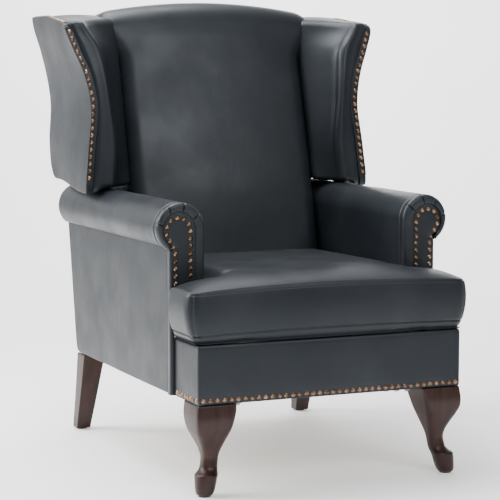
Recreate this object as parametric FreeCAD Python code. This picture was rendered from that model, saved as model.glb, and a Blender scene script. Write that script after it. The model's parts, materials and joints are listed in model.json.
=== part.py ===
import FreeCAD, Part
import math
import os
from FreeCAD import Vector

# Push-back wing recliner.  Millimetres.  +Z is up and the chair faces -Y, so the sitter's left is +X.
# The origin is on the floor, under the middle of the chair's bounding box.

# ---- driving dimensions ----
FRONT_Y = -508.0            # face of the footrest board and the front of the box under the seat
BOX_HALF = 336.0            # half-width of that box
BASE_Z = 211.0              # underside of the base, on top of the legs
LEG_INSET = 49.0            # centre of a front leg's top, in from the box's two faces
FOOT_SHIFT = 35.0           # how far a front foot stands out along the diagonal
BOX_TOP_Z = 346.0
ARM_FRONT_Y = -360.0
ARM_HALF = 345.0            # outer face of the arms
ARM_INNER = 262.0           # inner face of the arms
ARM_REAR_Y = 347.0          # rear of the arms at the base
REAR_SLOPE = 0.185          # how far the rear plane leans back for each mm of height
ROLL_X = 318.5              # centre of the rolled arm
ROLL_Z = 601.0
ROLL_R = 59.0
ROLL_CUT_Z = 566.0          # the roll sits on the arm's panels here
ROLL_REAR_Y = 403.0
CUSHION_Z = 368.0
CUSHION_TOP_Z = 480.0
CUSHION_HALF = 256.0        # between the arms
CUSHION_EAR_HALF = 348.0    # in front of the arms
CUSHION_LIP_Z = 355.0       # the cushion droops to here round the front of its platform
BACK_HALF = 256.0
BACK_FOOT = Vector(0, 28.7, 255.0)     # lower front edge of the inside back
BACK_RAKE = 14.4            # degrees from upright
BACK_THICK = 120.0
BACK_HEIGHT = 918.0         # along the raked face
CREST_RADIUS = 1531.0       # arch of the top edge, seen from the front
WING_BOTTOM_Z = 672.0
PIVOT = Vector(0, 330.0, 330.0)        # the back's hinge
HINGE_PIN_R = 6.0
WALL = 26.0                 # thickness of the hardwood rails
NAIL_R = 5.75
NAIL_H = 3.0
NAIL_PITCH = 17.0
WING_NAIL_PITCH = 18.0
NAIL_ROW_Z = BASE_Z + 12.0  # the row along the foot of the box under the seat

# The footrest's lazy tongs: crossed bars that reach along a straight line from the seat to the board.
TONG_HALF = 72.0            # half of a full bar, pin to pin
TONG_ANGLE = 68.0           # angle of each bar from that line when closed, degrees
TONG_RISE = 10.0            # slope of the line, degrees
TONG_END = Vector(0, -472.0, 278.0)    # pin on the footrest board, closed
BAR_WIDE = 18.0
BAR_THICK = 4.0
BAR_X_OUTER = 220.5         # inner face of the bars in the outer plane
BAR_X_INNER = 215.5         # inner face of the bars in the inner plane
PIN_R = 4.0
PIN_HEAD_R = 7.0
RUNNING = 0.06              # radial clearance of a pivot

# Where the wing's faces lie at each height: z, outer half-width at the front and at the rear,
# inner half-width at the front, and the y of the front edge.
WING_LEVELS = [
    (WING_BOTTOM_Z, 393.0, 380.0, 312.0, 101.0),
    (768.0, 383.0, 380.0, 305.0, 108.0),
    (880.0, 373.0, 370.0, 318.0, 118.0),
    (949.0, 386.0, 377.0, 325.0, 127.0),
    (1016.0, 412.0, 390.0, 337.0, 140.0),
    (1072.0, 430.0, 404.0, 372.0, 150.0),
    (1110.0, 434.0, 408.0, 384.0, 152.0),
]
# The wing's top edge climbs from a point in front of it to a knee, and runs level from there.
WING_TOP_START_Y = 80.0
WING_TOP_START_Z = 1068.0
WING_TOP_KNEE_Y = 330.0
WING_TOP_KNEE_Z = 1097.0
WING_SKIN = 10.0
WING_CORE = 18.0

os.makedirs("parts", exist_ok=True)


# ---- helpers ----
def save(name, shapes):
    """Write one node.  Separate solids in a node stay separate."""
    shape = shapes[0] if len(shapes) == 1 else Part.makeCompound(shapes)
    shape.exportStep("parts/" + name + ".step")


def box(x, y, z):
    """A block from three (low, high) pairs."""
    return Part.makeBox(x[1] - x[0], y[1] - y[0], z[1] - z[0], Vector(x[0], y[0], z[0]))


def side_prism(points, x):
    """Extrude a (y, z) outline across x = (low, high)."""
    corners = [Vector(x[0], py, pz) for py, pz in points]
    face = Part.Face(Part.makePolygon(corners + corners[:1]))
    return face.extrude(Vector(x[1] - x[0], 0, 0))


def plan_loft(levels):
    """A ruled solid through (x, y) outlines given as (z, points)."""
    wires = []
    for z, points in levels:
        corners = [Vector(px, py, z) for px, py in points]
        wires.append(Part.makePolygon(corners + corners[:1]))
    return Part.makeLoft(wires, True, True)


def rod(radius, x, centre):
    """A cylinder along X through centre, from x[0] to x[1]."""
    return Part.makeCylinder(radius, x[1] - x[0], Vector(x[0], centre.y, centre.z), Vector(1, 0, 0))


def other_side(shape):
    return shape.mirror(Vector(0, 0, 0), Vector(1, 0, 0))


def save_pair(name, left):
    """A piece on the sitter's left, and its mirror image on the right."""
    save(name + "_left", [left])
    save(name + "_right", [other_side(left)])


def both(shapes):
    return shapes + [other_side(s) for s in shapes]


def rear_y(z):
    """The plane of the chair's back."""
    return ARM_REAR_Y + REAR_SLOPE * (z - BASE_Z)


def face_y(z):
    """The front of the inside back."""
    return BACK_FOOT.y + math.tan(math.radians(BACK_RAKE)) * (z - BACK_FOOT.z)


def nail(point, outward):
    """A domed upholstery nail head that stands on a surface."""
    sphere_r = (NAIL_R ** 2 + NAIL_H ** 2) / (2 * NAIL_H)
    latitude = math.degrees(math.asin((sphere_r - NAIL_H) / sphere_r))
    centre = point - outward * (sphere_r - NAIL_H)
    return Part.makeSphere(sphere_r, centre, outward, latitude, 90, 360)


def along(path, pitch):
    """Evenly spaced points along a chain of edges, about pitch apart."""
    wire = Part.Wire(path)
    count = int(round(wire.Length / pitch)) + 1
    return wire.discretize(Number=count)


# ---- base ----
def base_rails():
    side = box((290, 290 + WALL), (-482, 332), (BASE_Z, 275))
    save("base_side_rails", both([side]))
    front = box((-290, 290), (-262, -202), (BASE_Z, BASE_Z + 20))
    rear = box((-290, 290), (258, 318), (BASE_Z, BASE_Z + 20))
    save("base_cross_rails", [front, rear])
    block = box((258, 290), (-482, -412), (BASE_Z, 275))
    save("corner_blocks", both([block]))


def seat_tracks():
    """Steel channels, open towards the seat, that climb a little towards the front."""
    length = 292.0
    outer = box((262, 290), (-length / 2, length / 2), (-17, 17))
    inner = box((261, 287), (-length / 2 - 1, length / 2 + 1), (-14, 14))
    save("seat_tracks", both([on_track(outer.cut(inner))]))


def on_track(shape):
    """Move a shape from the track's own frame to its place in the chair."""
    placed = shape.copy()
    placed.rotate(Vector(0, 0, 0), Vector(1, 0, 0), -5.0)
    placed.translate(Vector(0, -116, 255))
    return placed


def rounded_square(centre_x, centre_y, z, size):
    radius = size * 0.22
    plate = box((centre_x - size / 2, centre_x + size / 2), (centre_y - size / 2, centre_y + size / 2), (z, z + 1))
    edges = [e for e in plate.Edges if abs(e.Vertexes[0].Z - e.Vertexes[1].Z) > 0.5]
    rounded = plate.makeFillet(radius, edges)
    bottom = min(rounded.Faces, key=lambda f: f.CenterOfMass.z)
    return bottom.OuterWire


def front_leg():
    """A cabriole leg: knee out, ankle in, slipper foot out.  Shifts run along the outward diagonal."""
    top_x, top_y = BOX_HALF - LEG_INSET, FRONT_Y + LEG_INSET
    stations = [                    # z, shift, size across
        (BASE_Z, 0, 96),
        (176, 6, 94),
        (140, 9, 78),
        (104, 7, 58),
        (70, 9, 43),
        (46, 16, 40),
        (26, 27, 50),
        (12, 33, 50),
        (3, FOOT_SHIFT, 42),
    ]
    wires = []
    for z, shift, size in stations:
        step = shift * math.sqrt(0.5)
        wires.append(rounded_square(top_x + step, top_y - step, z, size))
    return Part.makeLoft(wires, True, False)


def rear_leg():
    """A square leg that rakes to the rear."""
    top = [(284, 284), (342, 284), (342, 342), (284, 342)]
    foot = [(304, 352), (342, 352), (342, 386), (304, 386)]
    return plan_loft([(3, foot), (BASE_Z, top)])


def legs():
    save_pair("front_leg", front_leg())
    save_pair("rear_leg", rear_leg())
    reach = FOOT_SHIFT * math.sqrt(0.5)
    feet = [(BOX_HALF - LEG_INSET + reach, FRONT_Y + LEG_INSET - reach), (323, 369)]
    glides = [Part.makeCylinder(14, 3, Vector(x, y, 0)) for x, y in feet]
    save("leg_glides", both(glides))
    bolts = [Part.makeCylinder(4, 86, Vector(x, y, 165)) for x, y in ((274, -447), (303, 308))]
    save("hanger_bolts", both(bolts))


# ---- box under the seat ----
def side_returns():
    """Upholstered sides of the box, mitred where they meet the footrest board."""
    inner = BOX_HALF - 18
    outline = [(BOX_HALF, FRONT_Y + 0.4), (BOX_HALF, ARM_FRONT_Y - 1.5),
               (inner, ARM_FRONT_Y - 1.5), (inner, FRONT_Y + 18.4)]
    save_pair("side_return", plan_loft([(BASE_Z, outline), (BOX_TOP_Z, outline)]))
    nails = []
    for i in range(8):
        point = Vector(BOX_HALF, FRONT_Y + 12 + i * NAIL_PITCH, NAIL_ROW_Z)
        nails.append(nail(point, Vector(1, 0, 0)))
    save("side_return_nails", both(nails))


# ---- arms ----
def arms():
    post_front = box((286, 318), (-338, -290), (275, 540))
    post_rear = side_prism([(rear_y(275) - 50, 275), (rear_y(275) - 12, 275),
                            (rear_y(540) - 12, 540), (rear_y(540) - 50, 540)], (264, 318))
    top_rail = box((286, 318), (-338, 345), (541, 565))
    save("arm_frame_left", [post_front, post_rear, top_rail])
    save("arm_frame_right", [other_side(s) for s in (post_front, post_rear, top_rail)])

    outer = side_prism([(ARM_FRONT_Y + 20.5, BASE_Z + 2), (rear_y(BASE_Z + 2), BASE_Z + 2),
                        (rear_y(ROLL_CUT_Z), ROLL_CUT_Z - 0.5), (ARM_FRONT_Y + 20.5, ROLL_CUT_Z - 0.5)],
                       (ARM_HALF - 25, ARM_HALF))
    save_pair("arm_outer_panel", outer)
    low_y, high_y, thick = rear_y(BASE_Z + 2), rear_y(ROLL_CUT_Z), 11.0
    cover = side_prism([(low_y - thick, BASE_Z + 2), (low_y, BASE_Z + 2),
                        (high_y, ROLL_CUT_Z - 0.5), (high_y - thick, ROLL_CUT_Z - 0.5)],
                       (ARM_INNER, ARM_HALF - 25.5))
    save("arm_rear_covers", both([cover]))
    inner = box((ARM_INNER, ARM_INNER + 22), (ARM_FRONT_Y + 20.5, 286), (288, ROLL_CUT_Z - 0.5))
    save_pair("arm_inner_pad", inner)

    roll = rod_y(ROLL_R, (ARM_FRONT_Y + 20.5, ROLL_REAR_Y))
    below = box((200, 420), (-600, 600), (400, ROLL_CUT_Z))
    save_pair("arm_roll", roll.cut(below))

    stem = box((ARM_INNER - 2.5, ARM_HALF), (ARM_FRONT_Y, ARM_FRONT_Y + 20), (BASE_Z + 2, ROLL_Z))
    head = rod_y(ROLL_R, (ARM_FRONT_Y, ARM_FRONT_Y + 20))
    notch = box((250, 318), (ARM_FRONT_Y - 1, ARM_FRONT_Y + 21), (BASE_Z, 276))
    save_pair("arm_front_facing", stem.fuse(head).removeSplitter().cut(notch))
    save("arm_nails", both([nail(p, Vector(0, -1, 0)) for p in facing_nail_points()]))


def rod_y(radius, y):
    """The arm roll's cylinder."""
    return Part.makeCylinder(radius, y[1] - y[0], Vector(ROLL_X, y[0], ROLL_Z), Vector(0, 1, 0))


def facing_nail_points():
    """A keyhole line: up the inner edge, round the head of the roll and down the outer edge."""
    inner_x, outer_x, foot_z = 294.0, 331.0, 352.0
    ring_x, ring_z, ring_r = 324.0, 595.0, 30.0
    neck_z = 548.0
    start = math.radians(180)
    leave = math.radians(-38)
    ring = []
    for angle in (start, (start + leave) / 2, leave):
        ring.append(Vector(ring_x + ring_r * math.cos(angle), ARM_FRONT_Y, ring_z + ring_r * math.sin(angle)))
    edges = [
        Part.LineSegment(Vector(inner_x, ARM_FRONT_Y, foot_z), Vector(inner_x, ARM_FRONT_Y, ring_z)).toShape(),
        Part.Arc(ring[0], ring[1], ring[2]).toShape(),
        Part.LineSegment(ring[2], Vector(outer_x, ARM_FRONT_Y, neck_z)).toShape(),
        Part.LineSegment(Vector(outer_x, ARM_FRONT_Y, neck_z), Vector(outer_x, ARM_FRONT_Y, foot_z)).toShape(),
    ]
    return along(edges, NAIL_PITCH)


# ---- seat ----
def seat():
    side = box((230, 254), (-455, 5), (300, 352))
    rear = box((-230, 230), (-20, 5), (300, 352))
    save("seat_frame", both([side]) + [rear])

    platform_front, platform_half = FRONT_Y + 16, 325.0
    tongue = box((-254, 254), (platform_front, -300), (354, 366))
    ears = box((-platform_half, platform_half), (platform_front, -366), (354, 366))
    save("seat_platform", [tongue.fuse(ears).removeSplitter()])

    straps = []
    for i in range(4):
        middle = -162 + i * 108
        straps.append(box((middle - 30, middle + 30), (-299, 3), (352.2, 355)))
    for i in range(2):
        front = -222 + i * 110
        straps.append(box((-228, 228), (front, front + 60), (355.2, 358)))
    save("seat_webbing", straps)

    slope = math.tan(math.radians(BACK_RAKE))
    rear_low = face_y(CUSHION_Z) - 9
    rear_high = rear_low + slope * (CUSHION_TOP_Z - CUSHION_Z)
    body = side_prism([(FRONT_Y - 2, CUSHION_Z), (rear_low, CUSHION_Z),
                       (rear_high, CUSHION_TOP_Z), (FRONT_Y - 2, CUSHION_TOP_Z)],
                      (-CUSHION_HALF, CUSHION_HALF))
    ears = box((-CUSHION_EAR_HALF, CUSHION_EAR_HALF), (FRONT_Y - 2, ARM_FRONT_Y - 4.5),
               (CUSHION_Z, CUSHION_TOP_Z - 12))
    lip_front = box((-CUSHION_EAR_HALF, CUSHION_EAR_HALF), (FRONT_Y - 2, platform_front - 1.5),
                    (CUSHION_LIP_Z, CUSHION_Z))
    lip_side = box((platform_half + 1.5, CUSHION_EAR_HALF), (FRONT_Y - 2, ARM_FRONT_Y - 4.5),
                   (CUSHION_LIP_Z, CUSHION_Z))
    save("seat_cushion", [body.multiFuse([ears, lip_front] + both([lip_side])).removeSplitter()])

    blocks = []
    plates = []
    for middle in (-64, 76):
        block = box((258, 286.4), (middle - 30, middle + 30), (-13.7, 13.7))
        blocks.append(on_track(block))
        plate_y = middle - 116
        plates.append(box((254, 258), (plate_y - 34, plate_y + 34), (236, 340)))
    save("seat_glide_blocks", both(blocks))
    save("seat_hangers", both(plates))
    save("tong_brackets", both([tong_bracket()]))


def tong_bracket():
    """A steel plate inside the seat rail, with the pin that the two rear bars turn on."""
    start = tong_start()
    plate = side_prism([(start.y - 20, start.z - 12), (start.y + 20, start.z - 12),
                        (start.y + 34, 345), (start.y - 34, 345)], (226, 230))
    pin = rod(PIN_R, (BAR_X_INNER - 1, 226), start)
    head = rod(PIN_HEAD_R, (BAR_X_INNER - 3, BAR_X_INNER - 1), start)
    return plate.fuse([pin, head]).removeSplitter()


# ---- the lazy tongs ----
def reach_dir():
    rise = math.radians(TONG_RISE)
    return Vector(0, -math.cos(rise), math.sin(rise))


def lift_dir():
    rise = math.radians(TONG_RISE)
    return Vector(0, math.sin(rise), math.cos(rise))


def tong_start():
    """The pin on the seat: three full bars' reach behind the pin on the board."""
    reach = 6 * TONG_HALF * math.cos(math.radians(TONG_ANGLE))
    return TONG_END - reach_dir() * reach


def tong_point(steps, side):
    """A point steps half-bars along the line, and one half-bar's height off it."""
    angle = math.radians(TONG_ANGLE)
    reach = reach_dir() * (steps * TONG_HALF * math.cos(angle))
    return tong_start() + reach + lift_dir() * (side * TONG_HALF * math.sin(angle))


def bar(a, b, x):
    """A flat bar with round ends, between two pins."""
    across = (b - a).normalize().cross(Vector(1, 0, 0)) * (BAR_WIDE / 2)
    corners = [a + across, b + across, b - across, a - across]
    flat = side_prism([(p.y, p.z) for p in corners], x)
    return flat.fuse([rod(BAR_WIDE / 2, x, a), rod(BAR_WIDE / 2, x, b)]).removeSplitter()


def outer_bar(a, b, pins):
    """A bar in the outer plane, with rivets that stand inwards at the given pins."""
    shape = bar(a, b, (BAR_X_OUTER, BAR_X_OUTER + BAR_THICK))
    for point in pins:
        shape = shape.fuse(rod(PIN_R, (BAR_X_INNER - 0.6, BAR_X_OUTER), point))
        shape = shape.fuse(rod(PIN_HEAD_R, (BAR_X_INNER - 2.6, BAR_X_INNER - 0.6), point))
    return shape.removeSplitter()


def inner_bar(a, b, holes):
    """A bar in the inner plane, with running holes."""
    shape = bar(a, b, (BAR_X_INNER, BAR_X_INNER + BAR_THICK))
    return drilled(shape, holes)


def drilled(shape, holes):
    for point in holes:
        shape = shape.cut(rod(PIN_R + RUNNING, (200, 240), point))
    return shape


def tongs():
    start = tong_start()
    end = TONG_END
    top = [tong_point(n, 1) for n in (1, 3, 5)]
    low = [tong_point(n, -1) for n in (1, 3, 5)]
    middle = [(low[i] + top[i + 1]) * 0.5 for i in (0, 1)]

    drive = drilled(outer_bar(start, top[0], [top[0]]), [start])
    tube_centre = (start + top[0]) * 0.5
    tube_span = (-BAR_X_OUTER, BAR_X_OUTER)
    tube = rod(6, tube_span, tube_centre).cut(rod(4.5, tube_span, tube_centre))
    save("tong_bar_rear_upper", both([drive]) + [tube])
    save("tong_bar_rear_lower", both([inner_bar(start, low[0], [start, low[0]])]))
    save("tong_bar_second_falling", both([inner_bar(top[0], low[1], [top[0], middle[0], low[1]])]))
    save("tong_bar_second_rising", both([outer_bar(low[0], top[1], [low[0], middle[0], top[1]])]))
    save("tong_bar_third_rising", both([outer_bar(low[1], top[2], [low[1], middle[1], top[2]])]))
    save("tong_bar_third_falling", both([inner_bar(top[1], low[2], [top[1], middle[1], low[2]])]))
    save("tong_bar_front_upper", both([inner_bar(top[2], end, [top[2], end])]))
    save("tong_bar_front_lower", both([drilled(outer_bar(low[2], end, [low[2]]), [end])]))


# ---- footrest ----
def footrest():
    pad_back = FRONT_Y + 12
    half = BOX_HALF - 0.5
    outline = [(-half, FRONT_Y), (half, FRONT_Y), (half - 12, pad_back), (-half + 12, pad_back)]
    save("footrest_pad", [plan_loft([(BASE_Z + 1.5, outline), (BOX_TOP_Z, outline)])])
    save("footrest_board", [box((-312, 312), (pad_back, pad_back + 12), (BASE_Z + 5, BOX_TOP_Z - 8))])

    board_back = pad_back + 12
    plate = side_prism([(board_back, 240), (TONG_END.y + 3, 262), (TONG_END.y + 10, 270),
                        (TONG_END.y + 10, 288), (board_back, 316)], (226, 229.5))
    foot = box((186, 229.5), (board_back, board_back + 2), (236, 250))
    pin = rod(PIN_R, (BAR_X_INNER - 1, 226), TONG_END)
    head = rod(PIN_HEAD_R, (BAR_X_INNER - 3, BAR_X_INNER - 1), TONG_END)
    save("footrest_brackets", both([plate.fuse([foot, pin, head]).removeSplitter()]))

    nails = []
    for i in range(39):
        nails.append(nail(Vector((i - 19) * NAIL_PITCH, FRONT_Y, NAIL_ROW_Z), Vector(0, -1, 0)))
    save("footrest_nails", nails)


# ---- back ----
def on_back(shape):
    """Move a shape from the back's own frame, upright at the origin, to its raked place."""
    placed = shape.copy()
    placed.rotate(Vector(0, 0, 0), Vector(1, 0, 0), -BACK_RAKE)
    placed.translate(BACK_FOOT)
    return placed


def arched(half, y, low_z, crown_z):
    """A slab whose top edge is the crest's arch."""
    shoulder_z = crown_z - (CREST_RADIUS - math.sqrt(CREST_RADIUS ** 2 - half ** 2))
    left = Vector(half, y[0], shoulder_z)
    right = Vector(-half, y[0], shoulder_z)
    edges = [
        Part.LineSegment(Vector(-half, y[0], low_z), Vector(half, y[0], low_z)).toShape(),
        Part.LineSegment(Vector(half, y[0], low_z), left).toShape(),
        Part.Arc(left, Vector(0, y[0], crown_z), right).toShape(),
        Part.LineSegment(right, Vector(-half, y[0], low_z)).toShape(),
    ]
    return Part.Face(Part.Wire(edges)).extrude(Vector(0, y[1] - y[0], 0))


def back():
    pad = arched(BACK_HALF, (0, BACK_THICK), 0, BACK_HEIGHT)
    front_top = [e for e in pad.Edges if e.BoundBox.YMax < 0.01 and e.BoundBox.ZMin > 700
                 and e.BoundBox.XLength > 100]
    save("inside_back_pad", [on_back(pad.makeFillet(45, front_top))])
    save("crest_pad", [arched(BACK_HALF, (378, rear_y(1068) - 13), 1068, 1118)])

    stile = box((200, 243), (124, 164), (20, 870))
    rails = [box((-200, 200), (124, 164), z) for z in ((20, 80), (430, 480), (810, 870))]
    save("back_frame", [on_back(s) for s in both([stile]) + rails])
    straps = [box((-240, 240), (120.5, 123.5), (110 + i * 140, 170 + i * 140)) for i in range(5)]
    save("back_webbing", [on_back(s) for s in straps])

    skin = 12.0
    lower = side_prism([(rear_y(250) - skin, 250), (rear_y(250), 250),
                        (rear_y(700), 700), (rear_y(700) - skin, 700)], (-254, 254))
    upper_outline = [(rear_y(WING_BOTTOM_Z + 4) - skin, WING_BOTTOM_Z + 4),
                     (rear_y(WING_BOTTOM_Z + 4), WING_BOTTOM_Z + 4),
                     (rear_y(1092), 1092), (rear_y(1092) - skin, 1092)]
    upper = side_prism(upper_outline, (-352, 352))
    save("outside_back_panel", [lower.fuse(upper).removeSplitter()])

    save("back_brackets", both([back_bracket()]))
    save("back_hinge_pins", both([rod(HINGE_PIN_R, (243.5, 300), PIVOT)]))


def back_bracket():
    """A steel plate from the back's stile to the hinge pin."""
    local = PIVOT - BACK_FOOT
    rake = math.radians(BACK_RAKE)
    hinge_y = local.y * math.cos(rake) - local.z * math.sin(rake)
    hinge_z = local.y * math.sin(rake) + local.z * math.cos(rake)
    plate = side_prism([(128, hinge_z - 34), (160, hinge_z - 34), (hinge_y, hinge_z - 17),
                        (hinge_y, hinge_z + 17), (160, hinge_z + 34), (128, hinge_z + 34)], (243, 249))
    eye = rod(17, (243, 249), Vector(0, hinge_y, hinge_z))
    hole = rod(HINGE_PIN_R + RUNNING, (240, 252), Vector(0, hinge_y, hinge_z))
    return on_back(plate.fuse(eye).removeSplitter().cut(hole))


# ---- wings ----
def wings():
    skin, core, pad = [], [], []
    gap = 1.0
    for z, outer_front, outer_rear, inner_front, front_y in WING_LEVELS:
        rear = rear_y(z)
        slope = (outer_rear - outer_front) / (rear - front_y)
        core_front = outer_front + slope * 12
        core_rear = outer_rear - slope * 14
        skin.append((z, [(outer_front - WING_SKIN, front_y), (outer_front, front_y),
                         (outer_rear, rear), (outer_rear - WING_SKIN, rear)]))
        inset = WING_SKIN + gap
        deep = inset + WING_CORE
        core.append((z, [(core_front - deep, front_y + 12), (core_front - inset, front_y + 12),
                         (core_rear - inset, rear - 14), (core_rear - deep, rear - 14)]))
        pad_side = deep + gap
        pad.append((z, [(inner_front, front_y), (outer_front - pad_side, front_y),
                        (core_rear - pad_side, rear - 14), (BACK_HALF + 2, rear - 14),
                        (BACK_HALF + 2, face_y(z))]))
    above = side_prism([(WING_TOP_START_Y, WING_TOP_START_Z), (WING_TOP_KNEE_Y, WING_TOP_KNEE_Z),
                        (540, WING_TOP_KNEE_Z), (540, 1200), (WING_TOP_START_Y, 1200)], (200, 500))
    save_pair("wing_outer_panel", plan_loft(skin).cut(above))
    save_pair("wing_frame", plan_loft(core).cut(above))
    save_pair("wing_inner_pad", plan_loft(pad).cut(above))
    save("wing_nails", both(wing_nails() + wing_top_nails()))


def wing_outer_x(y, z):
    """The half-width at the wing's outer face."""
    below, above = [pair for pair in zip(WING_LEVELS, WING_LEVELS[1:]) if pair[1][0] >= z][0]
    share = (z - below[0]) / (above[0] - below[0])
    outer_front, outer_rear, front_y = [below[i] + share * (above[i] - below[i]) for i in (1, 2, 4)]
    return outer_front + (outer_rear - outer_front) * (y - front_y) / (rear_y(z) - front_y)


def wing_top_nails():
    """Nails that run back from the wing's top corner, along the top of its outer panel."""
    slope = (WING_TOP_KNEE_Z - WING_TOP_START_Z) / (WING_TOP_KNEE_Y - WING_TOP_START_Y)
    nails = []
    for i in range(18):
        y = 174.0 + i * WING_NAIL_PITCH
        z = min(WING_TOP_START_Z + slope * (y - WING_TOP_START_Y), WING_TOP_KNEE_Z)
        outward = Vector(0, -slope if y < WING_TOP_KNEE_Y else 0, 1).normalize()
        nails.append(nail(Vector(wing_outer_x(y, z) - 6, y, z), outward))
    return nails


def wing_nails():
    """Nails up the front edge of the wing, just inside its outer face, square to that edge."""
    corners = [Vector(level[1] - 8, level[4], level[0]) for level in WING_LEVELS[:-1]]
    edges = [Part.LineSegment(a, b).toShape() for a, b in zip(corners, corners[1:])]
    nails = []
    for point in along(edges, WING_NAIL_PITCH)[1:-1]:
        above = [c for c in corners if c.z >= point.z][0]
        below = [c for c in corners if c.z < point.z][-1]
        lean = (above.y - below.y) / (above.z - below.z)
        outward = Vector(0, -1, lean).normalize()
        nails.append(nail(point, outward))
    return nails


base_rails()
seat_tracks()
legs()
side_returns()
arms()
seat()
tongs()
footrest()
back()
wings()
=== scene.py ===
import json
import math

import bpy
import numpy as np
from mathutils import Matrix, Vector
from mathutils.bvhtree import BVHTree


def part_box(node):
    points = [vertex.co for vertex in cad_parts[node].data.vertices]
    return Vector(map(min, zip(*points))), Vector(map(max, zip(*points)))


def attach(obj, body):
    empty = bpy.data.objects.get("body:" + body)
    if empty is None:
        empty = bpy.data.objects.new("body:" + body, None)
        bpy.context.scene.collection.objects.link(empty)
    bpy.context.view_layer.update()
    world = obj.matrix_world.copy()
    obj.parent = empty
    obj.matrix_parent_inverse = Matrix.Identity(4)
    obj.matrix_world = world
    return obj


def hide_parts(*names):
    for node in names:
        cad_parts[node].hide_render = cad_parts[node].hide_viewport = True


# The looks of a push-back wing recliner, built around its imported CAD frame.  Metres.
# +Z is up and the chair faces -Y, so the sitter's left is +X.  Paired pieces are made on the
# left and mirrored to the right.

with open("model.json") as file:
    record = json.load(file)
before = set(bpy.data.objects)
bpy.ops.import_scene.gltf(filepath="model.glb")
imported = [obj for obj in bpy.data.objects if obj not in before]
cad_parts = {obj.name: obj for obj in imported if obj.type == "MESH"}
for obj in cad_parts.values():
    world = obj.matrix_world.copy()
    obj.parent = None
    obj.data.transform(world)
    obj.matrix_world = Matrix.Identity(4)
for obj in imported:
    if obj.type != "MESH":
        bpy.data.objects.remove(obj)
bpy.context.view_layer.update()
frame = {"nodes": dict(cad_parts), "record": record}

MM = 0.001
LEFT, RIGHT = "left", "right"
STITCH_GAP = 6.0 * MM

# ---- places read from the frame ----
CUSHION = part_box("seat_cushion")
BACK_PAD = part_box("inside_back_pad")
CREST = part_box("crest_pad")
OUTSIDE_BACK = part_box("outside_back_panel")
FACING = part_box("arm_front_facing_left")
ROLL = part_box("arm_roll_left")
INNER_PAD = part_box("arm_inner_pad_left")
OUTER_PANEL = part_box("arm_outer_panel_left")
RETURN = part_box("side_return_left")
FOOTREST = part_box("footrest_pad")
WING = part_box("wing_outer_panel_left")

ROLL_R = (ROLL[1].x - ROLL[0].x) / 2
ROLL_X = (ROLL[1].x + ROLL[0].x) / 2
ROLL_Z = ROLL[1].z - ROLL_R
REAR_SLOPE = 0.185                 # of the chair's rear plane
REAR_FOOT_Y = 0.347                # of the rear plane at the foot of the arms' panels
BACK_RAKE = math.radians(14.4)
BACK_FOOT = np.array([0.0287, 0.255])  # y and z where the inside back's face starts
CREST_RADIUS = 1.531


def rear_plane(z):
    """The plane of the chair's back."""
    return OUTER_PANEL[1].y + REAR_SLOPE * (z - OUTER_PANEL[1].z)


def back_face_y(z):
    """How far to the rear the inside back's face lies at a height."""
    return BACK_FOOT[0] + math.tan(BACK_RAKE) * (z - BACK_FOOT[1])


# ---- reading the frame's meshes ----
def node_points(node):
    """Every corner of a CAD node, as an array."""
    return np.array([v.co for v in frame["nodes"][node].data.vertices])


def edge_corners(points, front):
    """The corners of a panel's front or rear edge at each height: one array inside, one outside.
    A height counts where the edge has a corner on both of its sides."""
    inside, outside = [], []
    for level in np.unique(points[:, 2].round(4)):
        row = points[np.abs(points[:, 2] - level) < 0.1 * MM]
        edge = row[:, 1].min() if front else row[:, 1].max()
        row = row[np.abs(row[:, 1] - edge) < 0.1 * MM]
        if np.ptp(row[:, 0]) > 5 * MM:
            inside.append(row[row[:, 0].argmin()])
            outside.append(row[row[:, 0].argmax()])
    return np.array(inside), np.array(outside)


def island_centres(node):
    """The centre of each separate solid of a CAD node."""
    mesh = frame["nodes"][node].data
    corners = np.array([v.co for v in mesh.vertices]).round(5)
    places, first = np.unique(corners, axis=0, return_inverse=True)
    owner = list(range(len(places)))

    def root(i):
        while owner[i] != i:
            owner[i] = owner[owner[i]]
            i = owner[i]
        return i

    first = first.ravel()
    for edge in mesh.edges:
        a, b = root(first[edge.vertices[0]]), root(first[edge.vertices[1]])
        owner[a] = b
    groups = {}
    for i in range(len(places)):
        groups.setdefault(root(i), []).append(places[i])
    return [(np.min(g, 0) + np.max(g, 0)) / 2 for g in groups.values()]


def left_centres(node):
    return [c for c in island_centres(node) if c[0] > 0]


# ---- shapes: a list of (points, faces) pairs joined into one mesh ----
def quad_grid(rows, cols, wrap=False, start=0):
    """Quads over a grid of points.  With wrap, the last column joins the first."""
    faces = []
    last = cols if wrap else cols - 1
    for i in range(rows - 1):
        for j in range(last):
            k = (j + 1) % cols
            faces.append((start + i * cols + j, start + i * cols + k,
                          start + (i + 1) * cols + k, start + (i + 1) * cols + j))
    return faces


def merge(shapes):
    points, faces, start = [], [], 0
    for shape_points, shape_faces in shapes:
        points.append(shape_points)
        faces.extend([tuple(i + start for i in f) for f in shape_faces])
        start += len(shape_points)
    return np.vstack(points), faces


def flipped(faces):
    return [tuple(reversed(f)) for f in faces]


def mirrored(shape):
    points, faces = shape
    return points * np.array([-1.0, 1.0, 1.0]), flipped(faces)


def both_sides(shape):
    return merge([shape, mirrored(shape)])


def band(upper, lower):
    """Quads between two closed rings of point numbers."""
    faces = []
    for i in range(len(upper)):
        k = (i + 1) % len(upper)
        faces.append((upper[i], lower[i], lower[k], upper[k]))
    return faces


def loft(rings):
    """A closed solid through rings of equal length, with a flat cap at each end."""
    rings = np.array(rings)
    count, size = rings.shape[0], rings.shape[1]
    faces = quad_grid(count, size, wrap=True)
    faces.append(tuple(reversed(range(size))))
    faces.append(tuple(range((count - 1) * size, count * size)))
    return rings.reshape(-1, 3), faces


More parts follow.
